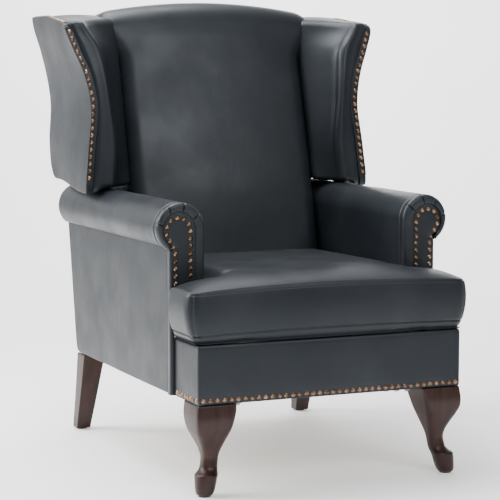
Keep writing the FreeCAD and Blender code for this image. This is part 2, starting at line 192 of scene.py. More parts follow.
def slab(front, back):
    """A closed solid between two grids of points with the same layout."""
    rows, cols = front.shape[0], front.shape[1]
    size = rows * cols
    faces = quad_grid(rows, cols)
    faces += flipped(quad_grid(rows, cols, start=size))
    edge = list(range(cols))
    edge += [i * cols + cols - 1 for i in range(1, rows)]
    edge += [(rows - 1) * cols + j for j in range(cols - 2, -1, -1)]
    edge += [i * cols for i in range(rows - 2, 0, -1)]
    for k, a in enumerate(edge):
        b = edge[(k + 1) % len(edge)]
        faces.append((b, a, a + size, b + size))
    return np.vstack([front.reshape(-1, 3), back.reshape(-1, 3)]), faces


def side_lines(low, high, radius, step):
    """Grid lines across one side of a block, closer together where its edge is rounded."""
    turn = [radius * math.tan(math.radians(a)) for a in (45, 36, 27, 18, 9, 0)]
    inner_low, inner_high = low + radius, high - radius
    count = max(2, int(round((inner_high - inner_low) / step)))
    middle = np.linspace(inner_low, inner_high, count + 1)
    return np.concatenate([[inner_low - t for t in turn[:-1]], middle,
                           [inner_high + t for t in reversed(turn[:-1])]])


def rounded_block(low, high, radii, step):
    """A block with evenly rounded edges: a grid over its six sides."""
    low, high, radii = np.array(low), np.array(high), np.array(radii)
    lines = [side_lines(low[a], high[a], radii[a], step) for a in range(3)]
    counts = [len(l) for l in lines]
    ids = -np.ones(counts, int)
    shell = np.zeros(counts, bool)
    for a in range(3):
        index = [slice(None)] * 3
        for end in (0, -1):
            index[a] = end
            shell[tuple(index)] = True
    cells = np.argwhere(shell)
    ids[shell] = np.arange(len(cells))
    points = np.stack([lines[a][cells[:, a]] for a in range(3)], 1)
    inner = np.clip(points, low + radii, high - radii)
    reach = (points - inner) / radii
    length = np.linalg.norm(reach, axis=1, keepdims=True)
    points = inner + radii * reach / np.maximum(length, 1.0)

    faces = []
    for a in range(3):
        b, c = (a + 1) % 3, (a + 2) % 3
        for end in (0, counts[a] - 1):
            for i in range(counts[b] - 1):
                for j in range(counts[c] - 1):
                    corners = []
                    for di, dj in ((0, 0), (1, 0), (1, 1), (0, 1)):
                        key = [0, 0, 0]
                        key[a], key[b], key[c] = end, i + di, j + dj
                        corners.append(int(ids[tuple(key)]))
                    faces.append(tuple(corners) if end else tuple(reversed(corners)))
    return points, faces


def shares(points, low, high):
    """How far each point lies from one corner of a block to the other: 0 to 1 on each axis."""
    return ((points - np.array(low)) / (np.array(high) - np.array(low))).T


def smoothstep(low, high, value):
    t = np.clip((value - low) / (high - low), 0.0, 1.0)
    return t * t * (3 - 2 * t)


def crown(value, low, high, power=2.0):
    """1 in the middle of a span and 0 at its ends."""
    t = np.clip((value - low) / (high - low), 0.0, 1.0) * 2 - 1
    return 1 - np.abs(t) ** power


def round_corner(points, axes, inner, corner):
    """Bend the square corner of a grid to a quarter circle round the point inner."""
    a, b = axes
    size_a, size_b = corner[0] - inner[0], corner[1] - inner[1]
    s, t = (points[:, a] - inner[0]) / size_a, (points[:, b] - inner[1]) / size_b
    zone = (s > 0) & (t > 0)
    far = np.maximum(s, t)
    scale = np.where(zone, far / np.maximum(np.hypot(s, t), 1e-9), 1.0)
    points[:, a] = np.where(zone, inner[0] + size_a * s * scale, points[:, a])
    points[:, b] = np.where(zone, inner[1] + size_b * t * scale, points[:, b])


def ripple(points, amount, length, seed):
    """A gentle seeded unevenness, as stuffed leather has."""
    rng = np.random.default_rng(seed)
    total = np.zeros(len(points))
    for _ in range(7):
        direction = rng.normal(size=3)
        direction *= 2 * math.pi / (length * rng.uniform(0.6, 1.7) * np.linalg.norm(direction))
        total += np.sin(points @ direction + rng.uniform(0, 6.28))
    return amount * total / 3.0


def smooth_curve(wanted, places, values):
    """Values at the wanted places, on a smooth curve through known ones."""
    slopes = np.gradient(values, places)
    i = np.clip(np.searchsorted(places, wanted, side="right") - 1, 0, len(places) - 2)
    h = places[i + 1] - places[i]
    t = (wanted - places[i]) / h
    start = (2 * t ** 3 - 3 * t ** 2 + 1) * values[i] + (t ** 3 - 2 * t ** 2 + t) * h * slopes[i]
    end = (3 * t ** 2 - 2 * t ** 3) * values[i + 1] + (t ** 3 - t ** 2) * h * slopes[i + 1]
    return start + end


def tube(path, radius, sides=8):
    """A round cord along a chain of points, with closed ends."""
    path = np.array(path)
    ahead = np.gradient(path, axis=0)
    ahead /= np.linalg.norm(ahead, axis=1, keepdims=True)
    side = np.cross(ahead[0], (0.0, 0.0, 1.0) if abs(ahead[0][2]) < 0.9 else (0.0, 1.0, 0.0))
    rings = []
    for i, point in enumerate(path):
        side = side - ahead[i] * side.dot(ahead[i])
        side /= np.linalg.norm(side)
        up = np.cross(side, ahead[i])
        size = radius * (0.35 if i in (0, len(path) - 1) else 1.0)
        angles = np.arange(sides) * 2 * math.pi / sides
        rings.append(point + size * (np.cos(angles)[:, None] * side - np.sin(angles)[:, None] * up))
    return loft(rings)


def resampled(path, pitch):
    """Evenly spaced points along a chain, with the direction at each."""
    path = np.array(path)
    runs = np.linalg.norm(np.diff(path, axis=0), axis=1)
    total = np.concatenate([[0], np.cumsum(runs)])
    places = np.arange(pitch / 2, total[-1], pitch)
    points = np.stack([np.interp(places, total, path[:, a]) for a in range(3)], 1)
    ahead = np.gradient(points, axis=0)
    return points, ahead / np.linalg.norm(ahead, axis=1, keepdims=True)


def stitches(path, pitch=STITCH_GAP, thread=0.45 * MM):
    """A row of sunk-in stitches: short lengths of thread with a gap between them."""
    shapes = []
    points, ahead = resampled(path, pitch)
    for point, direction in zip(points, ahead):
        shapes.append(tube([point - direction * pitch * t for t in (0.33, 0.2, -0.2, -0.33)], thread, 5))
    return merge(shapes)


def nail_head(point, outward, radius=5.9 * MM, rise=3.1 * MM, turn=0.0):
    """A domed nail with a thin rim: rings from its edge to its top."""
    outward = np.array(outward) / np.linalg.norm(outward)
    across = np.cross(outward, (0.0, 0.3, 1.0) if abs(outward[2]) < 0.8 else (1.0, 0.0, 0.0))
    across /= np.linalg.norm(across)
    along = np.cross(outward, across)
    angles = turn + np.arange(14) * 2 * math.pi / 14
    profile = [(0.86, -0.5), (1.0, -0.12), (1.0, 0.1), (0.9, 0.3), (0.72, 0.62), (0.48, 0.86), (0.2, 0.98)]
    rings = []
    for reach, height in profile:
        flat = np.cos(angles)[:, None] * across + np.sin(angles)[:, None] * along
        rings.append(point + radius * reach * flat + rise * height * outward)
    return loft(rings)


def nails(centres, surface, toward, seed):
    """Nail heads seated on a surface.  Each leans and turns a little, as hand-driven ones do."""
    rng = np.random.default_rng(seed)
    tree = surface_tree(surface)
    shapes = []
    for centre in centres:
        direction = Vector(toward(centre)).normalized()
        hit = tree.ray_cast(Vector(centre) + direction * 0.03, -direction, 0.06)
        place = np.array(hit[0]) if hit[0] is not None else np.array(centre) - 1.5 * MM * np.array(direction)
        lean = np.array(direction) + rng.normal(size=3) * 0.05
        shapes.append(nail_head(place + 0.2 * MM * np.array(direction), lean, turn=rng.uniform(0, 1)))
    return merge(shapes)


def dimples(points, outward, centres, depth=1.3 * MM, reach=8.0 * MM):
    """Press the leather in round each nail."""
    for centre in centres:
        distance = np.linalg.norm(points - centre, axis=1)
        points -= (depth * np.exp(-(distance / reach) ** 2))[:, None] * np.array(outward)
    return points


# ---- materials ----
def new_material(name):
    material = bpy.data.materials.new(name)
    material.use_nodes = True
    tree = material.node_tree
    shader = tree.nodes["Principled BSDF"]
    place = tree.nodes.new("ShaderNodeTexCoord")
    return material, tree, shader, place.outputs["Object"]


def fill(tree, node, values):
    """Give a node its inputs by name: a socket is linked and any other value is set."""
    for name, value in values.items():
        if isinstance(value, bpy.types.NodeSocket):
            tree.links.new(value, node.inputs[name])
        else:
            node.inputs[name].default_value = value


def new_node(tree, kind, values):
    node = tree.nodes.new("ShaderNode" + kind)
    fill(tree, node, values)
    return node


def noise(tree, place, scale, detail=3.0, stretch=(1.0, 1.0, 1.0)):
    mapping = new_node(tree, "Mapping", {"Vector": place, "Scale": stretch})
    texture = {"Vector": mapping.outputs["Vector"], "Scale": scale, "Detail": detail}
    return new_node(tree, "TexNoise", texture).outputs["Fac"]


def ramp(tree, value, stops):
    node = new_node(tree, "ValToRGB", {"Fac": value})
    elements = node.color_ramp.elements
    for index in (0, -1):
        elements[index].position = stops[index][0]
        elements[index].color = (*stops[index][1], 1)
    for position, colour in stops[1:-1]:
        elements.new(position).color = (*colour, 1)
    return node.outputs["Color"]


def remap(tree, value, low, high):
    """Spread the middle of a noise over a range."""
    span = {"Value": value, "From Min": 0.3, "From Max": 0.7, "To Min": low, "To Max": high}
    return new_node(tree, "MapRange", span).outputs["Result"]


def blend_colours(tree, factor, first, second):
    node = tree.nodes.new("ShaderNodeMix")
    node.data_type = "RGBA"
    fill(tree, node, {"Factor": factor, "A": first, "B": second})
    return node.outputs["Result"]


def bump(tree, height, strength, distance, below=None):
    node = new_node(tree, "Bump", {"Height": height, "Strength": strength, "Distance": distance})
    if below is not None:
        tree.links.new(below, node.inputs["Normal"])
    return node.outputs["Normal"]


def leather_material():
    """Waxed navy leather: cloudy colour, fine pebble grain, faint creases, a soft shine."""
    material, tree, shader, place = new_material("navy_leather")
    clouds = ramp(tree, noise(tree, place, 5.0, 4.0),
                  [(0.30, (0.0060, 0.0082, 0.0112)), (0.52, (0.0095, 0.0118, 0.0148)),
                   (0.72, (0.0155, 0.0182, 0.0215))])
    # A lighter mix, set by a mesh attribute: real edge wear on the welts and arm fronts, and a painted
    # highlight along the seat cushion's front crown.
    rubbed = ramp(tree, noise(tree, place, 14.0, 5.0),
                  [(0.35, (0.017, 0.020, 0.024)), (0.65, (0.036, 0.041, 0.047))])
    edge = tree.nodes.new("ShaderNodeAttribute")
    edge.attribute_name = "rubbed"
    pebble = new_node(tree, "TexVoronoi", {"Vector": place, "Scale": 620.0})
    grain = bump(tree, pebble.outputs["Distance"], 0.10, 0.0006)
    fill(tree, shader, {
        "Base Color": blend_colours(tree, edge.outputs["Fac"], clouds, rubbed),
        "Roughness": remap(tree, noise(tree, place, 9.0), 0.37, 0.50),
        "Specular IOR Level": 0.36,
        "Specular Tint": (0.88, 0.94, 1.0, 1.0),
        "Normal": bump(tree, noise(tree, place, 42.0, 6.0, (1.0, 1.0, 0.5)), 0.12, 0.003, grain),
    })
    return material


def wood_material(name, dark, light, roughness, coat, grain=(7.0, 7.0, 0.6)):
    """Wood with its grain along Z, or along whichever axis has the smallest stretch."""
    material, tree, shader, place = new_material(name)
    figure = noise(tree, place, 9.0, 6.0, grain)
    pores = noise(tree, place, 60.0, 3.0, grain)
    colour = blend_colours(tree, remap(tree, pores, 0.0, 0.35),
                           ramp(tree, figure, [(0.34, dark), (0.66, light)]),
                           ramp(tree, pores, [(0.3, dark), (0.8, light)]))
    fill(tree, shader, {
        "Base Color": colour,
        "Roughness": remap(tree, figure, roughness - 0.05, roughness + 0.07),
        "Coat Weight": coat,
        "Coat Roughness": 0.25,
        "Specular IOR Level": 0.32,
        "Normal": bump(tree, pores, 0.08, 0.0006),
    })
    return material


def metal_material(name, dark, light, roughness, scale):
    """Metal with a blotchy patina."""
    material, tree, shader, place = new_material(name)
    patina = noise(tree, place, scale, 4.0)
    fill(tree, shader, {
        "Base Color": ramp(tree, patina, [(0.36, dark), (0.62, light)]),
        "Metallic": 1.0,
        "Roughness": remap(tree, patina, roughness + 0.12, roughness - 0.06),
        "Normal": bump(tree, noise(tree, place, scale * 6), 0.06, 0.0004),
    })
    return material


def woven_material(name, dark, light, scale):
    """A plain weave from two crossed sets of threads."""
    material, tree, shader, place = new_material(name)
    crossed = tree.nodes.new("ShaderNodeMath")
    crossed.operation = "MAXIMUM"
    for index, direction in enumerate(("X", "Y")):
        wave = new_node(tree, "TexWave", {"Vector": place, "Scale": scale, "Distortion": 0.6})
        wave.bands_direction = direction
        tree.links.new(wave.outputs["Fac"], crossed.inputs[index])
    fill(tree, shader, {
        "Base Color": ramp(tree, crossed.outputs[0], [(0.2, dark), (0.9, light)]),
        "Roughness": 0.85,
        "Normal": bump(tree, crossed.outputs[0], 0.35, 0.0008),
    })
    return material


def speckled_material(name, dark, light, scale, roughness):
    """Nylon or thread: a fine speckle of colour, with one roughness or a (low, high) range of it."""
    material, tree, shader, place = new_material(name)
    speckle = noise(tree, place, scale)
    if isinstance(roughness, tuple):
        roughness = remap(tree, speckle, *roughness)
    colour = ramp(tree, speckle, [(0.3, dark), (0.7, light)])
    fill(tree, shader, {"Base Color": colour, "Roughness": roughness})
    return material


LEATHER = leather_material()
THREAD = speckled_material("navy_thread", (0.014, 0.018, 0.024), (0.040, 0.047, 0.056), 900.0, 0.7)
STAINED_WOOD = wood_material("espresso_wood", (0.012, 0.0036, 0.0022), (0.036, 0.0112, 0.0064), 0.40, 0.05)
FRAME_WOOD = wood_material("frame_wood", (0.36, 0.22, 0.11), (0.60, 0.42, 0.25), 0.55, 0.0, (0.8, 7.0, 7.0))
BRASS = metal_material("aged_brass", (0.085, 0.048, 0.028), (0.36, 0.22, 0.135), 0.32, 90.0)
STEEL = metal_material("zinc_steel", (0.30, 0.31, 0.32), (0.55, 0.56, 0.58), 0.34, 40.0)
DARK_CLOTH = woven_material("black_cambric", (0.008, 0.008, 0.009), (0.030, 0.030, 0.033), 500.0)
WEBBING = woven_material("jute_webbing", (0.30, 0.22, 0.12), (0.58, 0.47, 0.30), 220.0)
NYLON = speckled_material("black_nylon", (0.010, 0.010, 0.011), (0.022, 0.022, 0.024), 160.0, (0.42, 0.56))
SLOT_MATERIALS = {
    "leather": LEATHER, "stained_wood": STAINED_WOOD, "frame_wood": FRAME_WOOD, "dark_cloth": DARK_CLOTH,
    "webbing": WEBBING, "steel": STEEL, "aged_brass": BRASS, "plastic": NYLON,
}


def finish_cad_nodes():
    """Give every CAD node the material of its slot."""
    for part in frame["record"]["subparts"]:
        mesh = frame["nodes"][part["node"]].data
        mesh.materials.clear()
        mesh.materials.append(SLOT_MATERIALS[part["material_slot"]])


# ---- making pieces ----
def add_object(name, data):
    obj = bpy.data.objects.new(name, data)
    bpy.context.scene.collection.objects.link(obj)
    return obj


def smooth_mesh(name, points, faces, material):
    mesh = bpy.data.meshes.new(name)
    mesh.from_pydata(points.tolist(), [], faces)
    mesh.polygons.foreach_set("use_smooth", [True] * len(mesh.polygons))
    mesh.materials.append(material)
    return mesh


def piece(name, shape, body, slot="leather", stands_for=(), material=None, rubbed=None, fill=None):
    """Make one named piece that rides on a body, and hide the CAD parts that it stands for."""
    mesh = smooth_mesh(name, *shape, material or SLOT_MATERIALS[slot])
    # The lighter mix for the leather: edge wear, and on the seat cushion a painted highlight.
    if rubbed is not None:
        wear = mesh.attributes.new("rubbed", "FLOAT", "POINT")
        wear.data.foreach_set("value", np.clip(rubbed, 0, 1).astype(np.float32))
    mesh.validate()
    obj = add_object(name, mesh)
    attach(obj, body)
    if stands_for:
        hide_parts(*stands_for)


def pair(name, shape, body, stands_for=(), **facts):
    """The same piece on both sides of the chair.  Names in stands_for are without their side."""
    for side in (LEFT, RIGHT):
        sided = shape if side == LEFT else mirrored(shape)
        nodes = [n + "_" + side for n in stands_for]
        piece(name + "_" + side, sided, body, stands_for=nodes, **facts)


def nail_piece(name, shape, body, node):
    piece(name, shape, body, slot="aged_brass", stands_for=[node])


# ---- the seat cushion ----
BODY_HALF = BACK_PAD[1].x          # the cushion's half-width between the arms
EAR_REAR = FACING[0].y - 6.5 * MM  # its ears end just in front of the arms
SEAM_TOP = 0.4650
SEAM_LOW = 0.3695
LIP_DROP = 4.5 * MM                # of the cushion's lip below its CAD solid
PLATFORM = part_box("seat_platform")
BAR_X = (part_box("tong_bar_front_upper")[1].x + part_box("tong_bar_front_lower")[1].x) / 2


def edge_lines(low, high, count):
    """Grid lines whose first gaps are small, so that a seam can be sunk beside the edge."""
    return np.concatenate([[low, low + 2.5 * MM], np.linspace(low + 7 * MM, high, count)])


def cushion_grid_lines():
    ear = CUSHION[1].x
    side = edge_lines(-ear, -BODY_HALF, 12)
    xs = np.concatenate([side, np.linspace(-BODY_HALF, BODY_HALF, 68)[1:-1], -side[::-1]])
    ys = np.concatenate([edge_lines(CUSHION[0].y, EAR_REAR, 19),
                         np.linspace(EAR_REAR, CUSHION[1].y - 0.028, 54)[1:]])
    return xs, ys


def masked_sheet(xs, ys, keep):
    """Grid points and cells over the part of a rectangle where keep(x, y) is true, and its outline."""
    cols = len(xs)
    cells = []
    for j in range(len(ys) - 1):
        for i in range(cols - 1):
            if keep((xs[i] + xs[i + 1]) / 2, (ys[j] + ys[j + 1]) / 2):
                a = j * cols + i
                cells.append((a, a + 1, a + 1 + cols, a + cols))
    directed = set()
    for cell in cells:
        for k in range(4):
            directed.add((cell[k], cell[(k + 1) % 4]))
    border = {a: b for a, b in directed if (b, a) not in directed}
    used = sorted({i for c in cells for i in c})
    new_id = {old: k for k, old in enumerate(used)}
    points = np.array([(xs[i % cols], ys[i // cols]) for i in used])
    cells = [tuple(new_id[i] for i in c) for c in cells]
    start = min(border)
    loop = [start]
    while border[loop[-1]] != start:
        loop.append(border[loop[-1]])
    return points, cells, [new_id[i] for i in loop]


def loop_normals(flat):
    """The outward direction at each point of a counter-clockwise plan outline."""
    along = np.roll(flat, -1, 0) - np.roll(flat, 1, 0)
    out = np.stack([along[:, 1], -along[:, 0]], 1)
    return out / np.linalg.norm(out, axis=1, keepdims=True)


def cushion_dome(plan, front, rear):
    """How far the stuffing lifts the top: 0 along the seam, 1 well inside it."""
    reach = 46 * MM
    x, y = np.abs(plan[:, 0]), plan[:, 1]
    ears = y < EAR_REAR
    half = np.where(ears, CUSHION[1].x, BODY_HALF)
    half = half - (CUSHION[1].x - BODY_HALF) * smoothstep(-0.43, EAR_REAR, y) * ears * (x < BODY_HALF * 0.98)
    side = 1 - np.exp(-(half - x) / (reach * np.where(ears, 0.65, 0.35)))
    near = 1 - np.exp(-(y - front) / reach)
    far = 1 - np.exp(-(rear - y) / (reach * 0.35))
    ear = smoothstep(BODY_HALF - 0.05, BODY_HALF + 0.004, x)
    notch = 1 - ear * np.exp(-np.maximum(EAR_REAR - y, 0) / (reach * 0.7))
    return np.clip(side, 0, 1) * near * far * np.clip(notch, 0, 1)


def cushion_plan():
    """The T-shaped grid of the cushion, square and with its corners rounded."""
    xs, ys = cushion_grid_lines()
    plan, cells, loop = masked_sheet(xs, ys, lambda x, y: abs(x) < BODY_HALF or y < EAR_REAR)
    flat = np.column_stack([plan, np.zeros(len(plan))])
    for sign in (-1, 1):
        ear, front = sign * CUSHION[1].x, CUSHION[0].y
        for y, radius in ((front, 28 * MM), (EAR_REAR, -20 * MM)):
            round_corner(flat, (0, 1), (ear - sign * abs(radius), y + radius), (ear, y))
    return plan, flat[:, :2], cells, loop, ys[-1]


def seat_cushion():
    """A T-shaped cushion: crowned top, boxing that swells between sunk seams, and a lip that
    droops round the front of its platform.  Returns the mesh and its top and bottom seams."""
    plan, flat, cells, loop, rear = cushion_plan()
    front = CUSHION[0].y
    dome = cushion_dome(plan, front, rear)
    bow = (1 - (plan[:, 0] / CUSHION[1].x) ** 2) * (1 - smoothstep(front, 0.0, plan[:, 1]))
    soft = ripple(np.column_stack([plan, plan[:, 0] * 0]), 0.6 * MM, 0.22, 3) * dome
    top_z = SEAM_TOP + 0.010 * bow + 0.033 * dome + soft
    over_platform = (np.abs(plan[:, 0]) < PLATFORM[1].x + 1 * MM) & (plan[:, 1] > PLATFORM[0].y - 1 * MM)
    over_platform |= plan[:, 1] > EAR_REAR
    over_bars = 0.5 * np.exp(-((np.abs(plan[:, 0]) - BAR_X) / (30 * MM)) ** 2)
    lip_z = CUSHION[0].z - LIP_DROP * (1 - over_bars)
    bottom_z = np.where(over_platform, SEAM_LOW - 1.5 * MM, lip_z)
    lean = math.tan(BACK_RAKE) * smoothstep(-0.1, rear, plan[:, 1])
    spread = 7 * MM * smoothstep(BODY_HALF + 14 * MM, CUSHION[1].x, np.abs(flat[:, 0])) * np.sign(flat[:, 0])
    top = np.column_stack([flat[:, 0] + spread, flat[:, 1] + (top_z - SEAM_LOW) * lean, top_z])
    bottom = np.column_stack([flat[:, 0], flat[:, 1], bottom_z])

    out = loop_normals(flat[loop])
    corner = np.zeros(len(loop))
    for sign in (-1, 1):
        place = np.array([sign * (CUSHION[1].x - 8 * MM), front + 8 * MM])
        gap = np.linalg.norm(flat[loop] - place, axis=1)
        corner = np.maximum(corner, np.exp(-(gap / (2.6 * MM)) ** 2))
    ear_side = smoothstep(CUSHION[1].x - 30 * MM, CUSHION[1].x, np.abs(flat[loop, 0]))
    top[loop, :2] -= out * 3.6 * MM
    top[loop, 2] -= 1.5 * MM
    in_front = plan[loop, 1] < EAR_REAR + 1 * MM
    bottom[loop, :2] -= out * np.where(in_front, 9 * MM, 2 * MM)[:, None]
    low_seam = np.column_stack([flat[loop], np.full(len(loop), SEAM_LOW) + 0.006 * bow[loop]])
    low_seam[:, :2] -= out * 2.6 * MM

    rings = [top[loop]]
    for h in (0.02, 0.06, 0.12, 0.22, 0.34, 0.48, 0.62, 0.76, 0.87, 0.94, 0.98):
        ring = top[loop] * (1 - h) + low_seam * h
        swell = 3.4 * MM + 5.0 * MM * math.sin(math.pi * h) ** 0.7
        ring[:, :2] += out * (swell - 1.8 * MM * corner)[:, None]
        ring[:, 0] += 3 * MM * math.sin(math.pi * h) * np.sign(ring[:, 0]) * ear_side
        rings.append(ring)
    rings.append(low_seam)
    for h, swell in ((0.06, 2.6), (0.2, 3.4), (0.45, 2.8), (0.7, 1.0), (0.9, -1.5)):
        ring = low_seam * (1 - h) + bottom[loop] * h
        ring[:, :2] += out * (swell * MM - 1.5 * MM * corner)[:, None]
        rings.append(ring)
    rings.append(bottom[loop])

    count, size = len(top), len(loop)
    ring_ids = [list(loop)]
    for k in range(len(rings) - 2):
        ring_ids.append([2 * count + k * size + i for i in range(size)])
    ring_ids.append([count + i for i in loop])
    faces = list(cells) + flipped([[count + i for i in c] for c in cells])
    for upper, lower in zip(ring_ids, ring_ids[1:]):
        faces += band(upper, lower)
    points = np.vstack([top, bottom] + rings[1:-1])
    corners = [int(i) for i in np.flatnonzero(corner > 0.6)]
    return (points, faces), rings, out, corners


def on_surface(path, tree, lift=0.0):
    """Move each point of a path to the nearest place on a surface, raised a little."""
    placed = []
    for point in path:
        place, normal, _, _ = tree.find_nearest(Vector(point))
        placed.append(np.array(place) + lift * np.array(normal))
    return np.array(placed)


def surface_tree(shape):
    return BVHTree.FromPolygons([Vector(p) for p in shape[0]], shape[1])


def front_run(ring, rear_y):
    """The stretch of a closed ring in front of a line, in order from one side to the other."""
    start = int(np.argmax((ring[:, 1] > rear_y) & (np.roll(ring[:, 1], -1) <= rear_y)))
    ordered = np.roll(ring, -start - 1, axis=0)
    return ordered[: int(np.argmax(ordered[:, 1] > rear_y))]


def make_cushion():
    shape, rings, out, corners = seat_cushion()
    points = shape[0]
    # Painted highlight: a lighter band along the cushion's front crown, where light catches its ridge.
    highlight_z, highlight_reach, highlight_y = 0.484, 9 * MM, -0.40
    crown_highlight = np.exp(-((points[:, 2] - highlight_z) / highlight_reach) ** 2) * (points[:, 1] < highlight_y) * 0.55
    piece("seat_cushion_cover", shape, "seat", stands_for=["seat_cushion"], rubbed=crown_highlight, fill=0.8)
    tree = surface_tree(shape)
    rows = []
    seam = front_run(rings[0], EAR_REAR - 6 * MM)
    for drop, inward in ((-5.5 * MM, 0.0), (2.5 * MM, 5.0 * MM)):
        middle = np.array([0.0, -0.30, 0.0])
        toward = (middle - seam) * np.array([1.0, 1.0, 0.0])
        toward /= np.linalg.norm(toward, axis=1, keepdims=True)
        rows.append(stitches(on_surface(seam + toward * inward + np.array([0, 0, drop]), tree, 0.2 * MM)))
    boxing = rings[1:12]
    for index in corners:
        line = np.array([ring[index] for ring in boxing])
        for offset in (-4 * MM, 4 * MM):
            aside = np.array([-out[index][1], out[index][0], 0.0]) * offset
            rows.append(stitches(on_surface(line + aside, tree, 0.2 * MM)))
    piece("seat_cushion_stitches", merge(rows), "seat", material=THREAD)


# ---- the inside back ----
class BackCurve:
    """The line of the back's face: up the rake, over the crest and down to the outside back."""

    def __init__(self):
        bend, rear_bend = 58 * MM, 16 * MM
        fall = math.radians(7.0)
        ahead = np.array([math.sin(BACK_RAKE), math.cos(BACK_RAKE)])
        line = (BACK_PAD[1].z - bend * (1 - math.sin(BACK_RAKE)) - BACK_FOOT[1]) / ahead[1]
        path = [BACK_FOOT + ahead * s for s in np.linspace(0, line, 60)]
        centre = path[-1] + bend * np.array([math.cos(BACK_RAKE), -math.sin(BACK_RAKE)])
        for a in np.linspace(math.pi - BACK_RAKE, math.pi / 2 - fall, 14)[1:]:
            path.append(centre + bend * np.array([math.cos(a), math.sin(a)]))
        run = np.array([math.cos(fall), -math.sin(fall)])
        length = (CREST[1].y - rear_bend - path[-1][0]) / run[0]
        path += [path[-1] + run * s for s in np.linspace(0, length, 12)[1:]]
        corner = path[-1] + rear_bend * np.array([-math.sin(fall), -math.cos(fall)])
        for a in np.linspace(math.pi / 2 - fall, -0.1, 7)[1:]:
            path.append(corner + rear_bend * np.array([math.cos(a), math.sin(a)]))
        path += [path[-1] + np.array([0.001, -0.03]) * s for s in (0.4, 0.8)]
        self.path = np.array(path)
        runs = np.linalg.norm(np.diff(self.path, axis=0), axis=1)
        self.total = np.concatenate([[0], np.cumsum(runs)])
        self.line = line

    def at(self, s):
        """The point (y, z) and outward normal at a distance along the line."""
        d = 4 * MM
        here, ahead, behind = [[np.interp(place, self.total, self.path[:, axis]) for axis in (0, 1)]
                               for place in (s, s + d, s - d)]
        y, z = here
        dy, dz = ahead[0] - behind[0], ahead[1] - behind[1]
        length = np.hypot(dy, dz)
        return y, z, -dz / length, dy / length


def inside_back():
    """One tall padded panel that wraps over the arched crest."""
    curve = BackCurve()
    half = BACK_PAD[1].x + 3 * MM
    thick = 116 * MM
    low = (-half, -thick, 0.0)
    high = (half, 0.0, curve.total[-1])
    points, faces = rounded_block(low, high, (42 * MM, 34 * MM, 14 * MM), 11 * MM)
    x, w, s = points[:, 0], points[:, 1].copy(), points[:, 2]
    stuffing = 11 * MM * crown(x, -half, half, 2.2) * smoothstep(0.15, 0.42, s)
    lumbar = 5 * MM * np.exp(-((s - 0.42) / 0.16) ** 2) * crown(x, -half, half, 2.0)
    soft = ripple(np.column_stack([x, s, x * 0]), 0.35 * MM, 0.4, 11)
    over = smoothstep(curve.line - 0.05, curve.line + 0.03, s)
    depth = np.interp(s, [0, curve.line - 0.07, curve.line + 0.01, curve.total[-1]], [1.0, 1.0, 0.36, 0.26])
    face = w > -thick * 0.5
    w = np.where(face, w + (stuffing + lumbar) * (1 - 0.85 * over) + soft, w) * np.where(face, 1, depth)
    y, z, ny, nz = curve.at(s)
    arch = 1.35 * (CREST_RADIUS - np.sqrt(CREST_RADIUS ** 2 - x ** 2)) * smoothstep(0.45, curve.line, s)
    spread = 1 + 0.20 * smoothstep(curve.line - 0.09, curve.line + 0.02, s)
    shaped = np.column_stack([x * spread, y + ny * w, z + nz * w - arch])
    return shaped, faces


def back_side():
    """The leather on the side of the back, from the inside back's padding to the outside back."""
    depth, height, thick, low_z = 0.22, 0.60, 9 * MM, 0.46
    low, high = (-thick, 0, 0), (0, depth, height)
    points, faces = rounded_block(low, high, (3 * MM, 5 * MM, 5 * MM), 14 * MM)
    _, b, c = shares(points, low, high)
    z = low_z + points[:, 2]
    front_y = back_face_y(z) + 60 * MM
    y = front_y + b * (rear_plane(z) - 10 * MM - front_y)
    x = BACK_PAD[1].x - 3 * MM + points[:, 0] + 2 * MM * crown(b, 0, 1) * crown(c, 0, 1)
    return np.column_stack([x, y, z]), faces


def make_inside_back():
    pair("back_side_cover", back_side(), "back")
    piece("inside_back_cover", inside_back(), "back", stands_for=["inside_back_pad", "crest_pad"], fill=0.7)


# ---- wings ----
def at_height(table, z, axis):
    return np.interp(z, table[:, 2], table[:, axis])


def smooth_levels(table):
    """More heights along a chain of (x, y, z) stations, on a smooth curve through them."""
    fine = np.linspace(table[0, 2], table[-1, 2], 60)
    return np.column_stack([smooth_curve(fine, table[:, 2], table[:, a]) for a in (0, 1)] + [fine])


class WingSides:
    """The wing's faces at each height, read from its CAD panels and smoothed."""

    def __init__(self):
        outer = node_points("wing_outer_panel_left")
        pad = node_points("wing_inner_pad_left")
        front_depth = 0.055        # the front edge leans back by less than this
        front = edge_corners(outer[outer[:, 1] < WING[0].y + front_depth], True)[1]
        rear = edge_corners(outer[np.abs(outer[:, 1] - rear_plane(outer[:, 2])) < 0.3 * MM], False)[1]
        on_edge = np.abs(pad[:, 1] - at_height(front, pad[:, 2], 1)) < 0.3 * MM
        inner = edge_corners(pad[on_edge], True)[0]
        same_level = np.abs(inner[:, 2][:, None] - front[:, 2][None, :]).min(axis=1) < 0.15 * MM
        self.low = WING[0].z
        self.top_front = front[-1][2]
        self.top_rear = rear[-1][2]
        self.front, self.rear, self.inner = map(smooth_levels, (front, rear, inner[same_level]))

    def front_y(self, z):
        return at_height(self.front, z, 1)

    def rear_y(self, z):
        return at_height(self.rear, z, 1)

    def inner_front(self, z):
        return at_height(self.inner, z, 0)

    def outer_x(self, z, b):
        """The outer face's x at a height, from the front (0) to the rear (1)."""
        front = at_height(self.front, z, 0)
        return front + (at_height(self.rear, z, 0) - front) * b

    def top(self, b):
        """The height of the top edge from the front (0) to the rear (1)."""
        return self.top_front + (self.top_rear - self.top_front) * np.clip(b * 2.0, 0, 1)


SHELL = 20 * MM                    # thickness of the wing's outer panel
TOP_CORNER = 24 * MM
WING_DEPTH, WING_HEIGHT = 0.36, 0.41   # of the flat blocks that the wing's pieces are bent from


